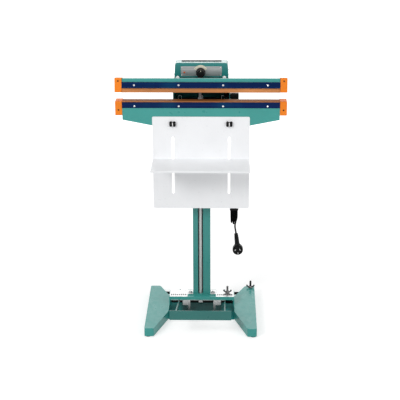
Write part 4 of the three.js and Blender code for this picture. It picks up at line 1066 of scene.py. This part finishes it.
class SEALER_OT_head(bpy.types.Operator):
    """Make the head tub, the skirt, the hinge pin and what is inside the tub"""

    bl_idname = "sealer.head"
    bl_label = "Head"

    def terminals(self):
        """A terminal block on the transformer, with three lugs painted white so that they show bright in the dark
        tub: a painted highlight.
        """
        top = box_mm("transformer")[1].z
        block = slab("block", "y", (-78, 76), (top - 0.2, top + 8), 113, 123)
        dress(rounded(block, 0.6), "Black plastic")
        outline = [(-5, 0), (-5, 13), (5, 13), (5, 0), (3.2, 0), (3.2, 11), (-3.2, 11), (-3.2, 0)]
        lug = sawn("terminal_lugs", "y", outline, 0, 1)
        # White paint on the lugs stands in for the glints of metal lugs: a painted highlight.
        lugs = repeated(lug, "Tray paint", 3, (-71, 112, top + 6), (70, 0, 0))
        dress(lugs, "Tray paint")

    def execute(self, context):
        edges = settings("edges")
        softened("head_tub", edges.sheet, "Dark enamel")
        softened("front_skirt", edges.sheet, "Enamel")
        clip_pin("hinge_pin", "Bright steel", 0.6, (89.8, 0.8, 0.8))
        coat(frame["nodes"]["transformer"].data, "Transformer iron")
        self.terminals()
        softened("micro_switch", 0.5, "Black plastic")
        softened("switch_plunger", 0.4, "Orange plastic")
        return {"FINISHED"}


def stretched_cloth(node, bends_mm, turn=Matrix()):
    """A taut coated sheet over the jaw's front edge: (y, z) of its front end, its bend and its rear end."""
    radius, columns = 0.9, 166
    low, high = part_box(node)
    front, bend, rear = (Vector(place) for place in bends_mm)
    first, second = (front - bend).normalized(), (rear - bend).normalized()
    centre = bend + (first + second) * radius
    profile = [front, front.lerp(bend + first * radius, 0.5)]
    for i in range(5):
        angle = math.pi / 2 * i / 4
        profile.append(centre - second * (radius * math.cos(angle)) - first * (radius * math.sin(angle)))
    profile += [(bend + second * radius).lerp(rear, i / 6) for i in range(1, 7)]
    bm = bmesh.new()
    rows = []
    for i in range(columns + 1):
        x = (low.x + (high.x - low.x) * i / columns) / MM
        ripple = 0.06 + 0.04 * math.sin(x / 17) + 0.02 * math.sin(x / 6.1 + 1)
        shift = Vector((second.x, first.y)) * ripple
        rows.append([bm.verts.new(Vector((x, *(point + shift))) * MM) for point in profile])
    for left, right in zip(rows, rows[1:]):
        for i in range(len(profile) - 1):
            bm.faces.new([left[i], right[i], right[i + 1], left[i + 1]])
    obj = placed(link(node + "_stretched", bm), turn)
    thick = obj.modifiers.new("Thickness", "SOLIDIFY")
    thick.thickness = 0.3 * MM
    thick.offset = 0
    stand_in(obj, "Release cloth", node)


class SEALER_OT_lower_jaw(bpy.types.Operator):
    """Make the lower jaw: bar, rail, band and cloth"""

    bl_idname = "sealer.lower_jaw"
    bl_label = "Lower jaw"

    def execute(self, context):
        softened("lower_jaw_bar", settings("edges").machined, "Aluminium")
        softened("lower_rail", 0.8, "Blue rail")
        coat(frame["nodes"]["heating_band"].data, "Bright steel")
        low, high = box_mm("lower_cloth")
        bends = [(low.y, low.z), (low.y, high.z), (high.y, high.z)]
        stretched_cloth("lower_cloth", bends)
        return {"FINISHED"}


class SEALER_OT_upper_jaw(bpy.types.Operator):
    """Make the upper jaw: arm, carrier, bar, rail, strip, cloth and trunnion"""

    bl_idname = "sealer.upper_jaw"
    bl_label = "Upper jaw"

    def execute(self, context):
        edges = settings("edges")
        softened("upper_arm", edges.pressed * 0.6, "Dark enamel")
        softened("upper_carrier", edges.pressed * 0.5, "Carrier enamel")
        softened("upper_jaw_bar", edges.machined, "Aluminium")
        softened("upper_rail", 0.8, "Blue rail")
        softened("silicone_strip", 0.6, "Silicone")
        closed = opened().inverted()
        corners = [closed @ vertex.co / MM for vertex in frame["nodes"]["upper_cloth"].data.vertices]
        front, rear = min(c.y for c in corners), max(c.y for c in corners)
        bottom, top = min(c.z for c in corners), max(c.z for c in corners)
        bends = [(front, top), (front, bottom), (rear, bottom)]
        stretched_cloth("upper_cloth", bends, opened())
        softened("rod_trunnion", edges.machined, "Bright steel")
        return {"FINISHED"}


class SEALER_OT_end_caps(bpy.types.Operator):
    """Make the four moulded end caps"""

    bl_idname = "sealer.end_caps"
    bl_label = "End caps"

    def execute(self, context):
        for side in ("left", "right"):
            for jaw in ("lower", "upper"):
                softened(f"{jaw}_cap_{side}", settings("edges").moulded, "Orange plastic")
        return {"FINISHED"}


class SEALER_OT_fasteners(bpy.types.Operator):
    """Make the screws of the rails, caps, tub, cover and carrier"""

    bl_idname = "sealer.fasteners"
    bl_label = "Screws and bolts"

    def row(self, name, body, count, radius, finish, **places):
        obj = spread(cross_screw(name, radius), finish, count, **places)
        if body == "jaw":
            placed(obj, opened())
        dress(obj, finish, body)

    def head_screws(self, radius):
        """Two rows on the rear wall, and a row on each side of the cover, turned round from the front."""
        rows = []
        for height in (652, 792):
            row = spread(cross_screw("rear_screw", radius * 1.2), "Screw steel", 2, half=78, y=-185, z=height)
            rows.append(placed(row, Matrix.Rotation(math.pi, 4, "Z")))
        for side in (-1, 1):
            screw = cross_screw("cover_screw", radius * 0.96)
            row = repeated(screw, "Screw steel", 2, (80 * side, -86.2, 810), (76 * side, 0, 0))
            rows.append(placed(row, Matrix.Rotation(math.pi / 2 * side, 4, "Z")))
        dress(joined("head_screws", *rows), "Screw steel")

    def execute(self, context):
        sizes = settings("fasteners")
        rail = (sizes.rail_screws, sizes.rail_screw, "Screw steel")
        cap = (2, 2.4, "Black steel")
        self.row("lower_rail_screws", "stand", *rail, half=210, y=-17, z=728.5)
        self.row("upper_rail_screws", "jaw", *rail, half=210, y=-17, z=767)
        self.row("lower_cap_screws", "stand", *cap, half=260.4, y=-16, z=716)
        self.row("upper_cap_screws", "jaw", *cap, half=260.4, y=-16, z=780)
        self.head_screws(sizes.rail_screw)
        bolt = hex_bolt("carrier_bolts", sizes.bolt, 4.6)
        bolts = spread(bolt, "Screw steel", 2, half=73, y=2, z=788.4)
        dress(placed(bolts, opened()), "Screw steel", "jaw")
        return {"FINISHED"}


class SEALER_OT_control_box(bpy.types.Operator):
    """Make the timer box: cover, base, louvres, bare plate, rivets, board and lamp"""

    bl_idname = "sealer.control_box"
    bl_label = "Control box"

    def vent(self):
        """A black grille let into the rear of the cover's top: a frame with a row of slats."""
        top = box_mm("control_cover")[1].z
        half, middle = 64, 100
        tray = slab("tray", "z", (-half, half), (middle - 8, middle + 8), top - 0.2, top + 0.5)
        parts = [rounded(tray, 0.2)]
        for y in (middle - 7, middle + 7):
            parts.append(rounded(slab("rail", "z", (-half, half), (y - 1, y + 1), top, top + 1.6), 0.5))
        slat = rounded(slab("slat", "z", (-0.9, 0.9), (-6.4, 6.4), 0, 1.3), 0.4)
        slats = spread(slat, "Black plastic", 33, half - 1.6, middle, top + 0.1)
        dress(joined("top_vent", *parts, slats), "Black plastic")

    def rivets(self):
        radius, margin = settings("fasteners").rivet, 3.2
        low, high = box_mm("label_plate")
        profile = [(0.2, 0), (0.2, radius), (-0.2, radius), (-0.55, 0.7 * radius), (-0.7, 0)]
        rows = []
        for z in (low.z + margin, high.z - margin):
            rivet = turned("rivet", "y", (0, 0, 0), profile, 20)
            rows.append(spread(rivet, "Screw steel", 2, high.x - margin, low.y, z))
        dress(joined("plate_rivets", *rows), "Screw steel")

    def execute(self, context):
        edges = settings("edges")
        softened("control_cover", edges.sheet * 1.5, "Cover enamel")
        softened("control_base", edges.sheet, "Dark enamel")
        softened("label_plate", 0.25, "Bare plate")
        coat(frame["nodes"]["timer_board"].data, "Circuit board")
        dome = [(-3, 0), (-2.9, 1.2), (-2.5, 2.2), (-1.8, 2.8), (-1.2, 3), (3, 3), (3, 0)]
        lamp = turned("indicator_lamp_lens", "y", middle_mm("indicator_lamp"), dome, 28)
        stand_in(lamp, "Lamp lens", "indicator_lamp")
        self.vent()
        self.rivets()
        return {"FINISHED"}


class SEALER_OT_timer_dial(bpy.types.Operator):
    """Make the timer's black fluted knob and the pale scale above it"""

    bl_idname = "sealer.timer_dial"
    bl_label = "Timer dial"

    centre = middle_mm("timer_knob")

    def knob(self):
        """A fluted skirted knob on its spindle, with a pale pointer."""
        low, high = box_mm("timer_knob")
        front, back, rear, ribs = low.y, high.y, 63.4, 18
        x, _, z = self.centre
        grip = turned("grip", "y", (x, 0, z), [
            (back, 0), (back, 2.6), (back - 0.4, 3), (rear, 3), (rear, 14.6), (rear - 0.5, 15),
            (rear - 3.8, 15), (rear - 4.4, 14.2), (rear - 4.4, 13.3), (front + 1.4, 12.8),
            (front + 0.4, 12.3), (front, 11.4), (front, 9.4), (front + 0.6, 8.8), (front + 0.6, 0)], 56)
        outline = [(-0.8, 12.2), (0.8, 12.2), (0.5, 14.3), (-0.5, 14.3)]
        rib = rounded(sawn("rib", "y", outline, front + 1, rear - 4), 0.35)
        flutes = repeated(rib, "Black plastic", ribs, (x, 0, z), turn=(0, 2 * math.pi / ribs, 0))
        stand_in(joined("timer_knob_grip", grip, flutes), "Black plastic", "timer_knob")
        pointer = slab("timer_knob_pointer", "y", (x - 0.6, x + 0.6), (z + 6.6, z + 11.4),
                       front - 0.05, front + 0.7)
        dress(rounded(pointer, 0.2), "Dial plate", "knob")

    def scale(self):
        """A pale sector on the plate, with its marks and plain numbers."""
        x, _, z = self.centre
        front = 62.8
        sector = arc((x, z), 24, 28, 152, 32) + arc((x, z), 16.4, 152, 28, 32)
        plate = rounded(sawn("scale_plate", "y", sector, front, 63.6), 0.2)
        dress(plate, "Dial plate")
        tick = slab("scale_ticks", "y", (-0.25, 0.25), (16.9, 18.6), -0.12, 0.1)
        placed(tick, Matrix.Rotation(math.radians(-52), 4, "Y"))
        ticks = repeated(tick, "Dial ink", 9, (x, front, z), turn=(0, math.radians(13), 0))
        dress(ticks, "Dial ink")
        numbers = [self.number(value, 142 - 26 * value, 21.2, front) for value in range(5)]
        dress(joined("scale_numbers", *numbers), "Dial ink")

    def number(self, value, angle, radius, front):
        """A digit on the scale, at an angle in degrees and a radius from the dial's centre."""
        data = bpy.data.curves.new(f"number_{value}", "FONT")
        data.body = str(value)
        data.size = 3.4 * MM
        data.extrude = 0.05 * MM
        data.align_x, data.align_y = "CENTER", "CENTER"
        obj = put(data.name, data)
        bpy.context.view_layer.update()
        mesh = result(obj)
        bpy.data.objects.remove(obj)
        turn = math.radians(angle)
        x, _, z = self.centre
        place = Vector((x + radius * math.cos(turn), front, z + radius * math.sin(turn)))
        mesh.transform(Matrix.Translation(place * MM) @ Matrix.Rotation(math.pi / 2, 4, "X"))
        return put(f"number_{value}", mesh)

    def execute(self, context):
        self.knob()
        self.scale()
        return {"FINISHED"}


class SEALER_OT_tray(bpy.types.Operator):
    """Make the tray plate, its wing screws and the sliding shelf"""

    bl_idname = "sealer.tray"
    bl_label = "Tray"

    def wing_screw(self, side):
        node = "tray_screw_" + side
        x, _, z = middle_mm(node)
        front = box_mm(node)[0].y
        hub = turned("hub", "y", (x, 0, z), [
            (-17.3, 0), (-17.3, 4.8), (-17.8, 5), (-22.5, 4.4), (front, 3.8), (front, 0)], 28)
        shaft = [(-12.4, 0), (-12.4, 2.2), (-13, 2.5), (-18, 2.5), (-18, 0)]
        parts = [hub, turned("shaft", "y", (x, 0, z), shaft, 20)]
        for offset in (-5.7, 5.7):
            wing = sawn("wing", "y", oval(x + offset, z, 4.6, 4.3, 12), front + 0.6, -20.4)
            parts.append(rounded(wing, 1.6))
        stand_in(joined(node + "_moulded", *parts), "Black plastic", node)
        insert = sawn(node + "_insert", "y", oval(x, z, 3.6, 1.2, 8), front - 0.2, front + 2)
        dress(rounded(insert, 0.3), "Screw steel", "wing_screw_" + side)

    def execute(self, context):
        softened("tray_plate", settings("edges").sheet, "Tray paint")
        softened("tray_shelf", settings("edges").sheet, "Tray paint")
        self.wing_screw("left")
        self.wing_screw("right")
        return {"FINISHED"}


PIECES = (
    SEALER_OT_stage, SEALER_OT_cord, SEALER_OT_base, SEALER_OT_studs, SEALER_OT_column, SEALER_OT_pull_rod,
    SEALER_OT_pedal, SEALER_OT_head, SEALER_OT_lower_jaw, SEALER_OT_upper_jaw, SEALER_OT_end_caps,
    SEALER_OT_fasteners, SEALER_OT_control_box, SEALER_OT_timer_dial, SEALER_OT_tray,
)
GROUPS = {
    "paint": SealerPaint, "edges": SealerEdges, "fasteners": SealerFasteners, "cord": SealerCord,
    "stage": SealerStage,
}


class SEALER_PT_sidebar(bpy.types.Panel):
    """Lists the pieces of the sealer and their settings"""

    bl_idname = "SEALER_PT_sidebar"
    bl_label = "Foot pedal sealer"
    bl_space_type = "VIEW_3D"
    bl_region_type = "UI"
    bl_category = "Sealer"

    def draw(self, context):
        for piece in PIECES:
            self.layout.operator(piece.bl_idname)
        for name, group in GROUPS.items():
            box = self.layout.box()
            for field in group.__annotations__:
                box.prop(settings(name), field)


def register():
    for made in (*GROUPS.values(), *PIECES, SEALER_PT_sidebar):
        bpy.utils.register_class(made)
    for name, group in GROUPS.items():
        setattr(bpy.types.Scene, "sealer_" + name, PointerProperty(type=group))


def unregister():
    for name in GROUPS:
        delattr(bpy.types.Scene, "sealer_" + name)
    for made in reversed((*GROUPS.values(), *PIECES, SEALER_PT_sidebar)):
        bpy.utils.unregister_class(made)


def main():
    register()
    for piece in PIECES:
        group, name = piece.bl_idname.split(".")
        if getattr(getattr(bpy.ops, group), name)() != {"FINISHED"}:
            raise RuntimeError(f"{piece.bl_label} wasn't made")


if __name__ == "__main__":
    main()
